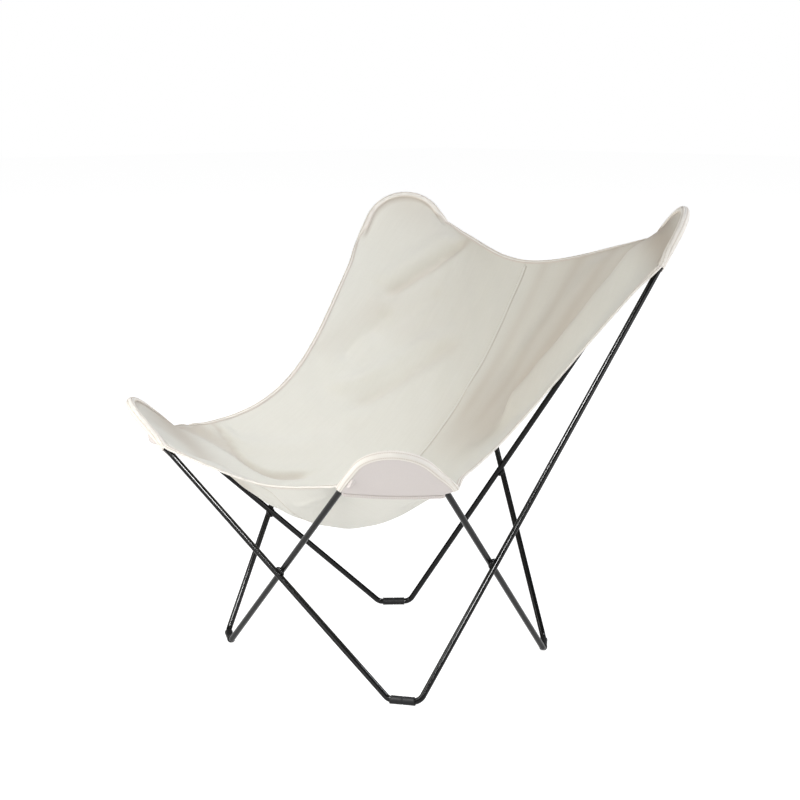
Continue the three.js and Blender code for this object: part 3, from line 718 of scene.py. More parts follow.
def earLine(end, side):
    # the stretch of rod in a pocket, from its crossing leg round the tip to its side leg
    points, tangents = rodPaths[end, side]
    running = lengthsAlong(points)
    start, finish = rod["bendSteps"] + 2, rod["bendSteps"] + 2 + rod["earSteps"]
    tip = (running[start] + running[finish]) / 2
    fromTip = np.linspace(-sling[end]["across"], sling[end]["along"], sling["earRows"] + 1)
    corners = earCorners(end, side)
    up = unit(np.cross(corners["across"] - corners["ear"], corners["along"] - corners["ear"]))
    up = up * np.sign(up[2])
    way = unit(atLengths(tangents, running, tip + fromTip))
    out = unit(np.cross(way, up))
    tipFacing = atLengths(points, running, [tip])[0] - (points[start] + points[finish]) / 2
    return {
        "point": atLengths(points, running, tip + fromTip), "way": way, "up": up,
        "out": out * np.sign(out[len(out) // 2] @ tipFacing), "fromTip": fromTip,
        "fromEnd": np.minimum(fromTip - fromTip[0], fromTip[-1] - fromTip),
        "arcHalf": (running[finish] - running[start]) / 2,
    }


ears = {key: earLine(*key) for key in rodPaths}


def sideOutline(side):
    # over the front ear, along the free edge and over the back ear
    front, back = (ears[end, side]["point"] + ears[end, side]["up"] * clothLift for end in otherEnd)
    reaches = [onSide(sling[end]["edgeReach"], side) for end in otherEnd]
    edge = bezier(front[-1], *reaches, back[-1], sling["freeRows"])
    return np.concatenate([front, edge[1:-1], back[::-1]])


def endOutline(end, left, right):
    # two curves that leave the middle of the free edge sideways and reach the two pockets
    edge = sling[end]
    middle = (left + right) / 2 + np.array([0, edge["inset"], -edge["drop"]])
    middleReach = np.array([edge["middleReach"], 0, 0])
    halves = [
        bezier(middle, onSide(middleReach, side), onSide(edge["cornerReach"], side), corner, seamColumn)
        for corner, side in ((left, -1), (right, 1))
    ]
    return np.concatenate([halves[0][::-1], halves[1][1:]])


outlines = {side: sideOutline(side) for side in (-1, 1)}
endRows = [
    endOutline(end, outlines[-1][row], outlines[1][row]) for end, row in (("front", 0), ("back", -1))
]


def hangCloth():
    # a stretched net under load: at each knot the pull of its four neighbours balances the load.
    # Across the chair the net is even, so sine waves across it take the knots apart row by row,
    # and each wave needs one small set of equations along the chair
    columns, rows = len(endRows[0]), len(outlines[1])
    net = np.zeros((rows, columns, 3))
    net[:, 0], net[:, -1], net[0], net[-1] = outlines[-1], outlines[1], *endRows
    place = lengthsAlong(outlines[1])
    place = place / place[-1]
    step = 2 / (columns - 1)
    before, after = np.diff(place)[:-1], np.diff(place)[1:]
    width = (before + after) / 2
    stiff = sling["acrossStiffness"]
    across = stiff * width / step
    pullBack, pullOn = step / before / stiff / across, step / after / stiff / across
    seat = bell(place[1:-1] - sling["seatPlace"], sling["seatWidth"])
    load = (sling["sag"] + sling["seatSag"] * seat) * width * step / across
    known = np.zeros((rows - 2, columns - 2, 3))
    known[..., 2] += load[:, None]
    known[:, 0] -= net[1:-1, 0]
    known[:, -1] -= net[1:-1, -1]
    known[0] -= pullBack[0] * net[0, 1:-1]
    known[-1] -= pullOn[-1] * net[-1, 1:-1]
    along = np.diag(-(pullBack + pullOn)) + np.diag(pullBack[1:], -1) + np.diag(pullOn[:-1], 1)
    waves = np.arange(1, columns - 1)
    sines = np.sin(math.pi * np.outer(waves, waves) / (columns - 1))
    waveLoads = np.einsum("rcx,cw->wrx", known, sines) * 2 / (columns - 1)
    stretch = -2 + 2 * np.cos(math.pi * waves / (columns - 1))
    systems = along[None] + stretch[:, None, None] * np.eye(rows - 2)[None]
    net[1:-1, 1:-1] = np.einsum("wrx,cw->rcx", np.linalg.solve(systems, waveLoads), sines)
    return net


def clothDip(end, side, rows):
    # the angle by which the cloth inside an ear falls away below the ear's flat
    ear = ears[end, side]
    edge, inside = (0, 1) if side < 0 else (-1, -2)
    inner = net[rows, inside] - net[rows, edge]
    inner = inner - dots(inner, ear["way"]) * ear["way"]
    angle = np.arctan2(-dots(inner, ear["up"])[:, 0], -dots(inner, ear["out"])[:, 0])
    angle = smooth(np.clip(angle, 0, sling["dipMost"]), sling["dipSteps"])
    return np.maximum(angle, sling["channelDip"]) * ease(ear["fromEnd"] / sling["dipFade"])


# First the cloth is hung from the tops of the rods, then again from where it leaves them, which
# is where it is tangent to the rod: the dip below the ear's flat
net = hangCloth()
rowsOf = {"front": np.arange(sling["earRows"] + 1), "back": len(net) - 1 - np.arange(sling["earRows"] + 1)}
for (end, side), ear in ears.items():
    ear["dip"] = clothDip(end, side, rowsOf[end])
    turned = np.cos(ear["dip"])[:, None] * ear["up"] - np.sin(ear["dip"])[:, None] * ear["out"]
    outlines[side][rowsOf[end]] = ear["point"] + clothLift * turned
net = hangCloth()
print("cloth hung", net.shape, "lowest", round(float(net[..., 2].min()), 4))


def flatPlaces():
    # where each knot lies on the flat cloth: along is its place along the seam line, and across
    # is the length of its row from the seam, less what the row moves along
    seam = net[:, seamColumn]
    ways = unit(np.gradient(seam, axis=0)) * (0, 1, 1)
    knots = net.reshape(-1, 3)
    nearest, _ = nearestOf(knots[:, 1:], seam[:, 1:])
    along = lengthsAlong(seam)[nearest] + np.sum((knots - seam[nearest]) * ways[nearest], axis=1)
    along = along.reshape(net.shape[:2])
    steps = stepLengths(net, axis=1)
    across = summed(np.sqrt(np.clip(steps**2 - np.diff(along, axis=1) ** 2, 0, None)), axis=1)
    return np.stack([across - across[:, seamColumn:seamColumn + 1], along], axis=-1)


flat = flatPlaces()


# Folds: each is a soft ridge or valley along a line on the flat cloth. It has the line's two ends
# (metres across and along), its half width and its height, negative for a valley, and where it
# has them how far the line bends and over what share of it the fold rises and dies out

folds = [
    ((-0.2, 1.05), (-0.33, 0.82), 0.014, -0.013, -0.008),
    ((-0.25, 1.06), (-0.36, 0.86), 0.023, 0.009),
    ((-0.315, 0.63), (-0.29, 0.82), 0.016, -0.009, 0.006),
    ((-0.3, 0.54), (-0.15, 0.8), 0.02, 0.012, -0.005),
    ((-0.24, 0.52), (-0.1, 0.79), 0.018, -0.01, -0.005),
    ((-0.13, 0.84), (-0.2, 0.47), 0.026, 0.008, 0.01),
    ((-0.3, 0.72), (-0.2, 0.9), 0.022, -0.007),
    ((-0.27, 1.09), (-0.235, 0.76), 0.006, -0.0014),
    ((-0.225, 1.07), (-0.19, 0.78), 0.005, 0.0013),
    ((-0.185, 1.06), (-0.145, 0.76), 0.007, -0.0016),
    ((-0.06, 0.97), (-0.045, 0.62), 0.014, 0.003),
    ((-0.1, 0.93), (-0.09, 0.6), 0.011, -0.0025),
    ((0.365, 1.08), (0.19, 0.54), 0.028, 0.03, -0.006),
    ((0.315, 1.1), (0.15, 0.62), 0.022, -0.018, -0.01),
    ((0.22, 1.06), (0.1, 0.72), 0.03, 0.007),
    ((0.12, 1.05), (0.05, 0.66), 0.02, -0.004),
    ((0.33, 0.66), (0.13, 0.54), 0.024, -0.003),
    ((-0.42, 0.02), (-0.16, 0.36), 0.01, -0.011, -0.018, 0.15),
    ((-0.42, 0.06), (-0.16, 0.5), 0.026, 0.006, 0.015, 0.35),
    ((-0.27, 0.035), (0.03, 0.065), 0.05, 0.022, 0, 0.3),
    ((0.36, 0.04), (0.24, 0.22), 0.012, -0.003),
    ((0.3, 0.12), (0.19, 0.34), 0.045, 0.012, -0.01, 0.3),
    ((0.2, 0.0), (0.04, 0.07), 0.008, -0.0026),
    ((0.2, 0.02), (0.05, 0.13), 0.01, 0.0026),
    ((-0.2, 0.02), (-0.05, 0.1), 0.01, -0.002),
    ((-0.33, 0.467), (-0.12, 0.44), 0.0025, -0.0012),
    ((0.1, 0.52), (0.3, 0.46), 0.018, 0.0025),
]
# Strips of painted shade on the sling, along folds and over stretches that lie in shade, set as the folds
# are, with how dark each is for a height
shadeStrips = [
    ((0.2, 1.2), (0.12, 0.46), 0.12, 0.38),
    ((0.33, 1.14), (0.17, 0.6), 0.034, 0.6),
    ((0.06, 1.09), (0.03, 0.55), 0.014, 0.2),
    ((0.15, 1.1), (0.09, 0.55), 0.016, 0.18),
    ((0.24, 1.12), (0.13, 0.62), 0.014, 0.2),
    ((0.28, 1.12), (0.49, 0.96), 0.05, 0.8),
    ((-0.19, 1.06), (-0.325, 0.84), 0.013, 0.35),
    ((-0.3, 0.89), (-0.37, 0.6), 0.03, 0.14),
    ((-0.08, 0.8), (-0.24, 0.52), 0.02, 0.15),
    ((-0.05, 1.1), (-0.46, 1.12), 0.075, 0.3),
    ((-0.12, 1.12), (-0.2, 0.7), 0.16, 0.12),
    ((-0.43, 0.0), (-0.1, 0.11), 0.04, 0.4),
    ((-0.42, 0.02), (-0.18, 0.33), 0.009, 0.45, -0.017, 0.08),
    ((0.08, 0.8), (0.03, 0.4), 0.05, 0.2, 0, 0.4),
    ((0.2, 0.75), (0.1, 0.4), 0.05, 0.16, 0, 0.4),
    ((-0.48, 0.0), (-0.3, -0.04), 0.06, 0.35),
]
foldDefaults = {"bend": 0, "ramp": 0.18, "fromEdge": 38 * mm}
ripple = {
    "height": 0.5 * mm, "lengths": (0.071, 0.113, 0.167), "turn": 0.7, "turnStep": 1.9,
    "sway": 2, "swayLength": 0.09,
}


def alongLine(places, start, finish, width, height, bend=foldDefaults["bend"], ramp=foldDefaults["ramp"]):
    # a bell over the distance from a line, fading in and out at the line's ends
    start, finish = np.array(start), np.array(finish)
    length = np.linalg.norm(finish - start)
    way = (finish - start) / length
    share = (places - start) @ way / length
    distance = (places - start) @ np.array([-way[1], way[0]]) - bend * 4 * share * (1 - share)
    return height * ease(share / ramp) * ease((1 - share) / ramp) * bell(distance, width)


def foldHeights():
    # the folds, with three long soft ripples of the whole cloth, each a sine that sways
    height = sum(alongLine(flat, *fold) for fold in folds)
    across, along = flat[..., 0], flat[..., 1]
    for number, length in enumerate(ripple["lengths"]):
        turn = ripple["turn"] + ripple["turnStep"] * number
        phase = 2 * math.pi * (math.cos(turn) * across + math.sin(turn) * along) / length
        sway = ripple["sway"] * np.sin(across / ripple["swayLength"] + number)
        height += ripple["height"] * np.sin(phase + sway)
    # 0 on the outline, all of it well inside, so folds leave the rods and the hems where they are
    outline = np.concatenate([net[::4, 0], net[::4, -1], net[0, ::4], net[-1, ::4]])
    _, distance = nearestOf(net.reshape(-1, 3), outline)
    return height * ease(distance / foldDefaults["fromEdge"]).reshape(height.shape)


foldedNet = net + gridNormals(net) * foldHeights()[..., None]


# The cloth goes on past the net's edge: round the rod at an ear, and in a small lip at a free edge.
# Flare is how far a pocket stands off the rod at its across and its along end

lip = {
    "layers": 14, "freeShare": 0.35, "cornerFade": 75 * mm, "lastAngle": math.radians(86), "turnSteps": 4,
    "flare": {"front": (3 * mm, 18 * mm), "back": (9 * mm, 5 * mm)}, "flareFrom": 0.75, "hemKnots": 4,
}

for (end, side), ear in ears.items():
    # the flare eases in along the pocket's two straight legs
    past = ear["arcHalf"] * lip["flareFrom"]
    ear["flare"] = sum(
        flare * ease((turned * ear["fromTip"] - past) / (sling[end][leg] - past))
        for flare, leg, turned in zip(lip["flare"][end], ("across", "along"), (-1, 1)))


def pocketSection(ear, angle, lift=0):
    # round the rod, angle from straight up: out by the sine and up by the cosine of the lifted
    # radius, and further out by the flare times the sine squared
    angle = np.broadcast_to(angle, (len(ear["point"]), np.shape(angle)[-1]))
    radius = clothLift + lift
    outShare = radius * np.sin(angle) + ear["flare"][:, None] * np.clip(np.sin(angle), 0, None) ** 2
    upShare = radius * np.cos(angle)
    out = outShare[..., None] * ear["out"][:, None]
    return ear["point"][:, None] + out + upShare[..., None] * ear["up"]


def lipLayers(side):
    # the cloth past the outline, from the seam's front end round the ears to its back end: the same
    # section as round a rod, shrunk to a small share away from the pockets, and turned from the
    # ear's directions to the cloth's own
    rows, earRows = len(net), sling["earRows"]
    outer = 0 if side < 0 else 2 * seamColumn
    outwards = np.arange(seamColumn, outer, side)
    rowOf = np.concatenate([0 * outwards, np.arange(rows), rows - 1 + 0 * outwards])
    columnOf = np.concatenate([outwards, np.full(rows, outer), outwards[::-1]])
    base, count = foldedNet[rowOf, columnOf], len(rowOf)
    running = lengthsAlong(base)
    surface = gridNormals(net)[rowOf, columnOf]
    surface = surface * np.sign(surface[:, 2:] + 1e-9)
    earPlaces = {
        "front": np.arange(seamColumn, seamColumn + earRows + 1),
        "back": np.arange(count - seamColumn - 1 - earRows, count - seamColumn),
    }
    turned = {"front": slice(None), "back": slice(None, None, -1)}
    share, flare, dip = np.zeros((3, count))
    up = surface.copy()
    for end, place in earPlaces.items():
        ear = ears[end, side]
        share[place], up[place] = 1, ear["up"]
        flare[place], dip[place] = ear["flare"][turned[end]], ear["dip"][turned[end]]
    exits = np.concatenate([place[[0, -1]] for place in earPlaces.values()])
    free = share == 0
    distance = np.abs(running[:, None] - running[exits][None])
    fade = 1 - ease(distance.min(axis=1) / lip["cornerFade"])
    share[free] = lerp(lip["freeShare"], 1, fade[free])
    flare[free] = np.interp(running[free], running[exits], flare[exits])
    up[free] = unit(lerp(surface, up[exits[distance.argmin(axis=1)]], fade[:, None]))[free]
    out = unit(np.cross(unit(np.gradient(base, axis=0)), up))
    inner = foldedNet[rows // 2, seamColumn + side * seamColumn // 2]
    out = out * np.sign(np.median(dots(out, base - inner)))
    for end, place in earPlaces.items():
        out[place] = ears[end, side]["out"][turned[end]]
    out = unit(smooth(out, lip["turnSteps"]))
    dip = dip[:, None]
    angle = lerp(-dip, lip["lastAngle"], np.linspace(0, 1, lip["layers"] + 1)[1:])
    outShare = clothLift * (np.sin(angle) + np.sin(dip))
    outShare = outShare + flare[:, None] * np.clip(np.sin(angle), 0, None) ** 2
    upShare = clothLift * (np.cos(angle) - np.cos(dip))
    offset = outShare[..., None] * out[:, None] + upShare[..., None] * up[:, None]
    return rowOf, columnOf, base[:, None] + offset * share[:, None, None], earPlaces


def panelMiddle(side):
    # one half of the cloth as a thin surface: the net's half and the lip round it, with its flat places
    columns = np.arange(seamColumn, seamColumn + side * (seamColumn + 1), side)
    half = foldedNet[:, columns].copy()
    half[:, 0, 0] += side * fitGap / 2
    halfFlat = flat[:, columns].reshape(-1, 2)
    rows, wide = half.shape[:2]
    quads = gridQuads(rows, wide)
    rowOf, columnOf, layers, earPlaces = lipLayers(side)
    columnOf = np.abs(columnOf - seamColumn)
    boundary = rowOf * wide + columnOf
    layers[[0, -1], :, 0] += side * fitGap / 2
    stations, layerCount = layers.shape[:2]
    lipIds = rows * wide + np.arange(stations * layerCount).reshape(stations, layerCount)
    ids = np.concatenate([boundary[:, None], lipIds], axis=1)
    lipQuads = np.stack([ids[:-1, :-1], ids[1:, :-1], ids[1:, 1:], ids[:-1, 1:]], axis=-1).reshape(-1, 4)
    points = np.concatenate([half.reshape(-1, 3), layers.reshape(-1, 3)])
    reach = np.linalg.norm(layers - points[boundary][:, None], axis=2)
    way = unit(np.gradient(halfFlat[boundary], axis=0))
    flatOut = np.stack([way[:, 1], -way[:, 0]], axis=1) * side
    flatLip = halfFlat[boundary][:, None] + reach[..., None] * flatOut[:, None]
    flatAll = np.concatenate([halfFlat, flatLip.reshape(-1, 2)])
    # the net's faces are turned up, and the lip's to the same side as the net's where they meet
    if np.sum(faceNormals(points, quads)[:, 2]) < 0:
        quads = quads[:, ::-1]
    meeting = rows + seamColumn // 2
    inside = pointNormals(points[:rows * wide], quads)[boundary[meeting]]
    if faceNormals(points, lipQuads)[meeting * layerCount] @ inside < 0:
        lipQuads = lipQuads[:, ::-1]
    # lines from the cloth's edge inwards, for the hems: outermost lip knot first
    station = np.arange(stations)[:, None]
    onFront, onBack = station < seamColumn, station >= stations - seamColumn
    steps = np.arange(1, lip["hemKnots"] + 1)
    rowStep = np.where(onFront, 1, np.where(onBack, -1, 0)) * steps
    columnStep = np.where(onFront | onBack, 0, -1) * steps
    inner = (rowOf[:, None] + rowStep) * wide + np.clip(columnOf[:, None] + columnStep, 0, None)
    lines = np.concatenate([lipIds[:, ::-1], boundary[:, None], inner], axis=1)
    # painted shade: a dark line where the cloth dips behind the rod
    channel = np.zeros(rows)
    for end in otherEnd:
        channel[rowsOf[end]] = ears[end, side]["dip"] / sling["channelDip"]
    fromRod = np.linalg.norm(half - half[:, -1:], axis=2)
    netCrease = bell(fromRod, sling["channelFade"]) * np.clip(channel, 0, 1)[:, None]
    lipCrease = netCrease.ravel()[boundary][:, None] * bell(reach, sling["channelFade"])
    creaseShade = sling["channelCrease"] * np.concatenate([netCrease.ravel(), lipCrease.ravel()])
    return points, np.concatenate([quads, lipQuads]), flatAll, creaseShade, lines, earPlaces


def thicken(points, quads, thickness, *extras):
    # two faces half a thickness either side of the middle, joined round the open edge
    count = len(points)
    half = pointNormals(points, quads) * np.broadcast_to(thickness, count)[:, None] / 2
    edges = np.concatenate([quads[:, [k, (k + 1) % 4]] for k in range(4)])
    _, first, uses = np.unique(np.sort(edges, axis=1), axis=0, return_index=True, return_counts=True)
    rim = edges[first[uses == 1]]
    rimQuads = np.stack([rim[:, 1], rim[:, 0], rim[:, 0] + count, rim[:, 1] + count], axis=1)
    both = np.concatenate([points + half, points - half])
    allQuads = np.concatenate([quads, quads[:, ::-1] + count, rimQuads])
    return (both, allQuads, *(np.concatenate([extra, extra]) for extra in extras))


def sheetArea(points, quads):
    return float(np.linalg.norm(faceNormals(points, quads), axis=1).sum() / 2)


def stripPiece(name, surface, thickness, material, slot, stands=(), creaseShade=0):
    # a piece of cloth on a grid of middle points, given its thickness, and its flat places: the
    # lengths along its rows and the mean length along its columns
    shape = surface.shape[:2]
    down = summed(stepLengths(surface).mean(axis=1))
    over = summed(stepLengths(surface, axis=1), axis=1)
    flatPlace = np.stack([over, np.broadcast_to(down[:, None], shape)], axis=-1).reshape(-1, 2)
    thickness, creaseShade = (np.broadcast_to(values, shape).ravel() for values in (thickness, creaseShade))
    both, allQuads, flatBoth, creaseBoth = thicken(
        surface.reshape(-1, 3), gridQuads(*shape), thickness, flatPlace, creaseShade)
    return meshPiece(name, both, allQuads, material, slot, stands, flatBoth, {"creaseShade": creaseBoth})


# Stitches: short threads in a row, each sunk into the cloth at its ends

stitch = {
    "pitch": 4 * mm, "length": 3 * mm, "radius": 0.34 * mm, "proud": 0.1 * mm, "sides": 5,
    "at": (-0.5, -0.3, 0.3, 0.5), "size": (0.45, 1, 1, 0.45), "height": (-0.9, 0, 0, -0.9),
}


def stitchesPiece(name, rows):
    # rows holds the line of each seam and the cloth's normals along it
    tubes = []
    for line, normals in rows:
        running = lengthsAlong(line)
        count = int(running[-1] / stitch["pitch"])
        if count < 1:
            continue
        at = (np.arange(count) + 0.5) * running[-1] / count
        centre = atLengths(line, running, at)
        way = unit(atLengths(line, running, at + mm / 2) - atLengths(line, running, at - mm / 2))
        up = unit(atLengths(normals, running, at))
        cosine, sine = around(stitch["sides"])
        spokes = cosine * up[:, None] + sine * np.cross(way, up)[:, None]
        rings = []
        for place, size, height in zip(stitch["at"], stitch["size"], stitch["height"]):
            lift = stitch["proud"] + height * stitch["radius"]
            middle = centre + way * place * stitch["length"] + up * lift
            rings.append(middle[:, None] + spokes * size * stitch["radius"])
        tubes.append(np.stack(rings, axis=1))
    return tubePiece(name, np.concatenate(tubes), threadLook, "canvas_tape")


panels = {}
for side in (-1, 1):
    points, quads, flatAll, creaseShade, lines, earPlaces = panelMiddle(side)
    both, allQuads, flatBoth, creaseBoth = thicken(points, quads, sling["thickness"], flatAll, creaseShade)
    # the strips above are painted shade, darkening the cloth's colour along folds and over shaded stretches
    paintedShade = np.clip(sum(alongLine(flatBoth, *strip) for strip in shadeStrips), 0, 1)
    name = f"sling_{sideName(side)}_panel"
    shades = {"creaseShade": creaseBoth, "paintedShade": paintedShade}
    panels[side] = {
        "piece": meshPiece(f"{name}_cloth", both, allQuads, canvasLook, "canvas", [name], flatBoth, shades),
        "lines": points[lines], "normals": pointNormals(points, quads)[lines], "ears": earPlaces,
        "flat": np.ptp(flatAll, axis=0).tolist(), "area": sheetArea(points, quads), "with": [],
    }
print("panels cut", {side: (panel["flat"], round(panel["area"], 3)) for side, panel in panels.items()})


# Hems: the edge of the cloth is turned over and stitched down

hem = {
    "width": 9 * mm, "turnUnder": 1 * mm, "thickness": 0.9 * mm, "clearance": 0.12 * mm,
    "borderThickness": 0.5 * mm, "border": 1 * mm, "rows": (2.2 * mm, 6.8 * mm), "dip": 0.28 * mm,
    "dipWidth": 0.8 * mm, "edgeSteps": 6, "faceSteps": 16, "creaseShare": 0.8,
    "pucker": 0.1 * mm, "puckerPitch": 11 * mm, "puckerSway": (1.7, 37 * mm),
}


def alongLines(lines, distances, *values):
    # every line's point at each distance from its start, and the same of what else its knots hold;
    # one row of distances serves all lines
    distances = np.atleast_2d(distances)
    steps = stepLengths(lines, axis=1)
    running = summed(steps, axis=1)
    below = (running[:, :, None] <= distances[:, None, :]).sum(axis=1) - 1
    below = np.clip(below, 0, lines.shape[1] - 2)
    start, step = (np.take_along_axis(held, below, axis=1) for held in (running, steps))
    share = (distances - start) / step
    return [
        lerp(*(np.take_along_axis(held, below[..., None] + k, axis=1) for k in (0, 1)), share[..., None])
        for held in (lines, *values)
    ]


def stitchDips(distance, settings):
    return sum(bell(distance - row, settings["dipWidth"]) for row in settings["rows"])


def puckers(running, dips, settings):
    # the cloth rises and sinks along its stitches as a sine whose pitch sways, but not in their dips
    sway, swayLength = settings["puckerSway"]
    wave = np.sin(2 * math.pi * running / settings["puckerPitch"] + sway * np.sin(running / swayLength))
    return settings["pucker"] * wave[:, None] * np.clip(1 - dips, 0, 1)


def hemPiece(name, lines, normals, stands=(), material=litBindingLook, creaseShare=hem["creaseShare"]):
    # the section is distances in from the cloth's edge and heights over its middle: down one face,
    # round in a half circle and up the other. It is carried along the cloth's edge, dipping at its
    # rows of stitches and puckering between
    reach = sling["thickness"] / 2 + hem["clearance"] + hem["thickness"] / 2
    down = np.linspace(hem["width"], 0, hem["faceSteps"] + 1)
    angle = np.linspace(0, math.pi, hem["edgeSteps"] + 1)[1:-1]
    up = np.linspace(0, hem["width"] + hem["turnUnder"], hem["faceSteps"] + 1)
    distance = np.concatenate([down, -reach * np.sin(angle), up])
    height = np.concatenate([reach + 0 * down, reach * np.cos(angle), -reach + 0 * up])
    fromBorder = np.concatenate([hem["width"] - down, hem["width"] + 0 * angle, up[::-1]])
    base, ups = alongLines(lines, np.clip(distance, 0, None), normals)
    edgeOut = unit(lines[:, 0] - lines[:, 1])
    base = base + edgeOut[:, None] * np.clip(-distance, 0, None)[None, :, None]
    dips = stitchDips(np.abs(distance), hem)
    lift = height - np.sign(height) * hem["dip"] * dips
    lift = lift + np.sign(height) * puckers(lengthsAlong(lines[:, 0]), dips, hem)
    thin = 1 - ease(fromBorder / hem["border"])
    thickness = lerp(hem["thickness"], hem["borderThickness"], thin)
    # painted shade along the stitch dips and the hem's folded border
    creaseShade = np.clip(creaseShare * dips + creaseShare * thin, 0, 1)
    surface = base + unit(ups) * lift[..., None]
    piece = stripPiece(name, surface, thickness, material, "canvas_tape", stands, creaseShade)
    rows = []
    for row in hem["rows"]:
        line, top = (held[:, 0] for held in alongLines(lines, row, normals))
        for sign in (1, -1):
            normal = unit(top) * sign
            rows.append((line + normal * (reach + hem["thickness"] / 2 - hem["dip"]), normal))
    return [piece, stitchesPiece(f"{name}_stitches", rows)]


for side, panel in panels.items():
    name = f"{sideName(side)}_edge_hem"
    free = slice(panel["ears"]["front"][-1], panel["ears"]["back"][0] + 1)
    panel["with"] += hemPiece(f"{name}_turned", panel["lines"][free], panel["normals"][free], [name])
for end in otherEnd:
    # the two panels' edges in one line from left to right, without the seam's own knots
    halves = []
    for side, panel in panels.items():
        place, count = panel["ears"][end], len(panel["lines"])
        free = slice(1, place[0] + 1) if end == "front" else slice(place[-1], count - 1)
        order = slice(None, None, side if end == "front" else -side)
        halves.append([panel[key][free][order] for key in ("lines", "normals")])
    lines, normals = (np.concatenate(both) for both in zip(*halves))
    name = f"{end}_edge_hem"
    panels[1]["with"] += hemPiece(f"{name}_turned", lines, normals, [name])
print("hems turned")


# Centre seam: a felled seam, folded flat to one side and stitched down twice

seam = {
    "width": 11 * mm, "thin": 0.5 * mm, "thick": 1.1 * mm, "clearance": 0.08 * mm,
    "rows": (1.6 * mm, 9.6 * mm), "columns": 23, "rowPitch": 1.5 * mm, "fromEdge": 8.5 * mm,
    "dip": 0.3 * mm, "dipWidth": 0.8 * mm,
    "rise": 1.6, "edgeShare": 0.5, "edgeWidth": 0.8 * mm, "borderWidth": 1.2 * mm, "creaseShare": 0.38,
    "pucker": 0.12 * mm, "puckerPitch": 9 * mm, "puckerSway": (1.3, 41 * mm),
}


def seamPiece():
    # a strip over the seam, thicker to the right, its height dipping at the stitches
    columns = slice(seamColumn - 2, seamColumn + 3)
    knots, ups = foldedNet[:, columns], gridNormals(foldedNet)[:, columns]
    ups = ups * np.sign(ups[..., 2:])
    running = lengthsAlong(knots[:, 2])
    rowCount = int(running[-1] / seam["rowPitch"])
    reach = np.linspace(seam["fromEdge"], running[-1] - seam["fromEdge"], rowCount)
    knots, ups = (atLengths(held, running, reach) for held in (knots, ups))
    half = np.linalg.norm(knots[:, 2] - knots[:, 0], axis=1).mean()
    place = np.linspace(0, seam["width"], seam["columns"])
    base, up = alongLines(knots, half - seam["width"] / 2 + place, ups)
    up = unit(up)
    dips = stitchDips(place, seam)
    thickness = lerp(seam["thin"], seam["thick"], ease(place / seam["width"] * seam["rise"]))
    thickness = thickness * lerp(seam["edgeShare"], 1, ease(place / seam["edgeWidth"]))
    bottom = sling["thickness"] / 2 + seam["clearance"]
    top = bottom + thickness - seam["dip"] * dips + puckers(reach, dips, seam)
    surface = base + up * ((top + bottom) / 2)[..., None]
    # painted shade at the stitch dips, more towards the seam's thick side, and along its folded border
    border = bell(place - seam["width"], seam["borderWidth"])
    creaseShade = seam["creaseShare"] * np.clip(dips * place / seam["width"] + border, 0, 1)
    piece = stripPiece("centre_seam_felled", surface, top - bottom, canvasLook, "canvas_tape",
                       ["centre_seam_tape"], creaseShade)
    rows = []
    for row in seam["rows"]:
        number = int(round(row / seam["width"] * (seam["columns"] - 1)))
        rows.append(((base + up * top[..., None])[:, number], up[:, number]))
        rows.append(((base - up * sling["thickness"] / 2)[:, number], -up[:, number]))
    return [piece, stitchesPiece("centre_seam_stitches", rows)]


panels[1]["with"] += seamPiece()
print("seam felled")


# Pockets: a rim bound over the outer side of the rod, and an underside with a hemmed straight edge

pocket = {
    "rimStations": 200, "undersideStations": 110, "rimInset": math.radians(5), "rimColumns": 64,
    "turns": (-75, 200, 276), "over": 17.7 * mm, "under": 12 * mm, "overFade": 45 * mm,
    "rimThickness": 0.9 * mm, "rimBorder": 0.45 * mm, "border": 1.2 * mm, "clearance": 0.12 * mm,
    "rows": (2 * mm, 10 * mm, 17.5 * mm, 25.5 * mm), "dip": 0.4 * mm, "dipWidth": 0.75 * mm,
    "pucker": 0.16 * mm, "puckerPitch": 10 * mm, "puckerSway": (1.9, 33 * mm), "puckerFade": 2 * mm,
    "creaseWidth": 1.1 * mm, "creaseShare": 0.35, "overCrease": 0.3, "hemCrease": 0.06,
    "undersideFrom": 93.0, "wrapLayers": 8, "flatLayers": 40, "undersideThickness": 1.1 * mm,
    "pastExit": {"front": 12 * mm, "back": 6 * mm}, "bulge": 4 * mm, "hemColumns": 12, "hemEnds": 2,
    "pushReach": 8 * mm, "panelGap": 1.2 * mm, "spreadSteps": 3, "pushRows": 10, "leastTilt": 0.3,
}


def finerEar(ear, count):
    # the ear's stations again, closer together
    order = np.arange(len(ear["point"]))
    at = np.linspace(0, order[-1], count)
    finer = {key: atLengths(ear[key], order, at) for key in ("point", "out", "fromEnd", "dip", "flare")}
    return {**finer, "out": unit(finer["out"]), "up": ear["up"]}


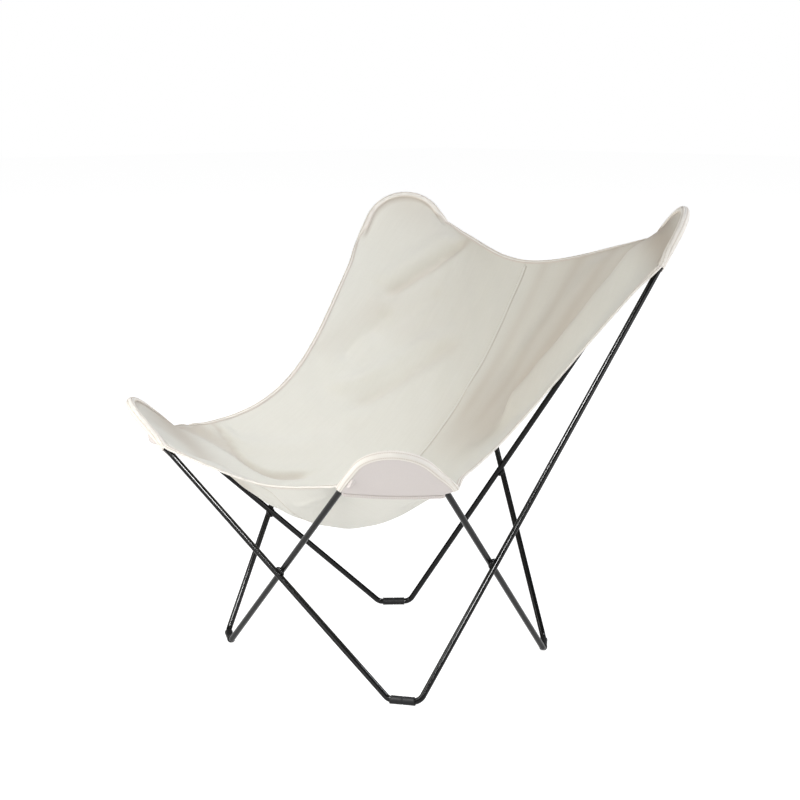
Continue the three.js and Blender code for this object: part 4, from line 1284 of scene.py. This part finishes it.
def rimPiece(name, ear):
    # a strip round the rod, its height over the sling's cloth dipping at each row of stitches. It
    # lies so far over the rod and so far under it, measured from the fold round its outside
    turn = np.radians(np.linspace(*pocket["turns"]))
    section = pocketSection(ear, turn)
    fold = np.argmin(np.abs(turn - math.pi / 2))
    toFold = stepLengths(section[:, :fold + 1], axis=1).sum(axis=1)[:, None]
    over = lerp(hem["width"], pocket["over"], ease(ear["fromEnd"] / pocket["overFade"]))[:, None]
    share = np.linspace(0, 1, pocket["rimColumns"] + 1)
    turns = np.broadcast_to(turn[:, None], (*section.shape[:2], 1))
    _, angle = alongLines(section, toFold + lerp(-over, pocket["under"], share), turns)
    angle = np.maximum(angle[..., 0], pocket["rimInset"] - ear["dip"][:, None])
    place = share * (pocket["over"] + pocket["under"])
    dips = stitchDips(place, pocket)
    fromBorder = np.minimum(place, place[-1] - place)
    thin = 1 - ease(fromBorder / pocket["border"])
    thickness = lerp(pocket["rimThickness"], pocket["rimBorder"], thin)
    lift = sling["thickness"] / 2 + pocket["clearance"] + thickness / 2 - pocket["dip"] / 2 * dips
    waves = puckers(lengthsAlong(ear["point"]), dips, pocket) * ease(fromBorder / pocket["puckerFade"])
    surface = pocketSection(ear, angle, lift + waves)
    # painted shade along the rows of stitches and the rim's borders, most at its under border
    seams = sum(bell(place - row, pocket["creaseWidth"]) for row in pocket["rows"])
    creaseShade = np.clip(pocket["creaseShare"] * seams + thin * lerp(pocket["overCrease"], 1, share), 0, 1)
    piece = stripPiece(f"{name}_bound", surface, thickness, litBindingLook, "canvas_tape", [name], creaseShade)
    rows = []
    for row in pocket["rows"]:
        line = surface[:, int(round(row / place[-1] * pocket["rimColumns"]))]
        normal = unit(line - ear["point"])
        rows.append((line + normal * pocket["rimThickness"] / 2, normal))
    return [piece, stitchesPiece(f"{name}_stitches", rows)]


def depthUnderSling(sheet, end, side, ear, away):
    # how far each point would have to go down, along the ear's up, to lie clear under the sling:
    # its height over the plane of the knot that is nearest in the ear's own flat
    reach = sling["earRows"] + pocket["pushRows"]
    rows = slice(0, reach) if end == "front" else slice(-reach, None)
    columns = slice(0, seamColumn, 2) if side < 0 else slice(seamColumn, None, 2)
    axes = np.stack([np.cross(ear["up"], away), away, ear["up"]], axis=1)
    knots, ups = (grid[rows, columns].reshape(-1, 3) for grid in (foldedNet, gridNormals(foldedNet)))
    knots, ups, places = knots @ axes, (ups * np.sign(ups[:, 2:])) @ axes, sheet.reshape(-1, 3) @ axes
    clear = (sling["thickness"] + pocket["undersideThickness"]) / 2 + pocket["panelGap"]
    nearest, distance = nearestOf(places[:, :2], knots[:, :2])
    knots, ups = knots[nearest], ups[nearest]
    tilt = np.clip(ups[:, 2], pocket["leastTilt"], None)
    cloth = knots[:, 2] - np.sum((places - knots)[:, :2] * ups[:, :2], axis=1) / tilt
    depth = np.where(distance < pocket["pushReach"], places[:, 2] + clear / tilt - cloth, 0)
    return np.clip(depth, 0, None).reshape(sheet.shape[:2])


def undersidePiece(end, side, ear):
    # round under the rod, then straight lines on to the hem between the pocket's two ends,
    # let down a little in the middle and kept clear below the sling's own cloth
    name = f"{cornerName(end, side)}_pocket"
    angles = np.radians(np.linspace(pocket["undersideFrom"], 180, pocket["wrapLayers"] + 1))
    wrap = pocketSection(ear, angles)
    under = wrap[:, -1]
    share = (lengthsAlong(under) / lengthsAlong(under)[-1])[:, None]
    away = unit((under[0] + under[-1]) / 2 - under[len(under) // 2])
    straight = lerp(under[0], under[-1], share) + away * pocket["pastExit"][end]
    spread = np.linspace(0, 1, pocket["flatLayers"] + 1)[1:]
    sheet = lerp(under[:, None], straight[:, None], spread[None, :, None])
    sag = np.sin(math.pi * share) * np.sin(math.pi / 2 * spread)
    sheet = sheet - ear["up"] * pocket["bulge"] * sag[..., None]
    depth = depthUnderSling(sheet, end, side, ear, away)
    fromRod = np.linalg.norm(sheet - under[:, None], axis=2)
    for axis in (0, 1):
        # the deepest within some steps, smoothed over as many: never less than it was
        deepest = windows(depth, pocket["spreadSteps"], axis).max(axis=-1)
        depth = smooth(deepest, pocket["spreadSteps"], axis)
    depth = depth * ease(fromRod / pocket["pushReach"])
    surface = np.concatenate([wrap, sheet - ear["up"] * depth[..., None]], axis=1)
    # the underside is cut from the shaded lining, its darker colour painted shade
    piece = stripPiece(f"{name}_underside_cloth", surface, pocket["undersideThickness"], shadedLiningLook,
                       "canvas", [f"{name}_underside"])
    ends = pocket["hemEnds"]
    edge = (slice(ends, -ends), slice(None, -pocket["hemColumns"] - 1, -1))
    hems = hemPiece(f"{name}_hem", surface[edge], gridNormals(surface)[edge],
                    material=shadedLiningLook, creaseShare=pocket["hemCrease"])
    size = [float(np.linalg.norm(under[-1] - under[0])), float(np.ptp(surface @ away))]
    return piece, hems, size, sheetArea(surface.reshape(-1, 3), gridQuads(*surface.shape[:2]))


for (end, side), ear in ears.items():
    name = cornerName(end, side)
    panels[side]["with"] += rimPiece(f"{name}_pocket_rim", finerEar(ear, pocket["rimStations"]))
    piece, hems, size, area = undersidePiece(end, side, finerEar(ear, pocket["undersideStations"]))
    print(piece.name, [round(length, 3) for length in size], round(area, 4))
print("pockets sewn")
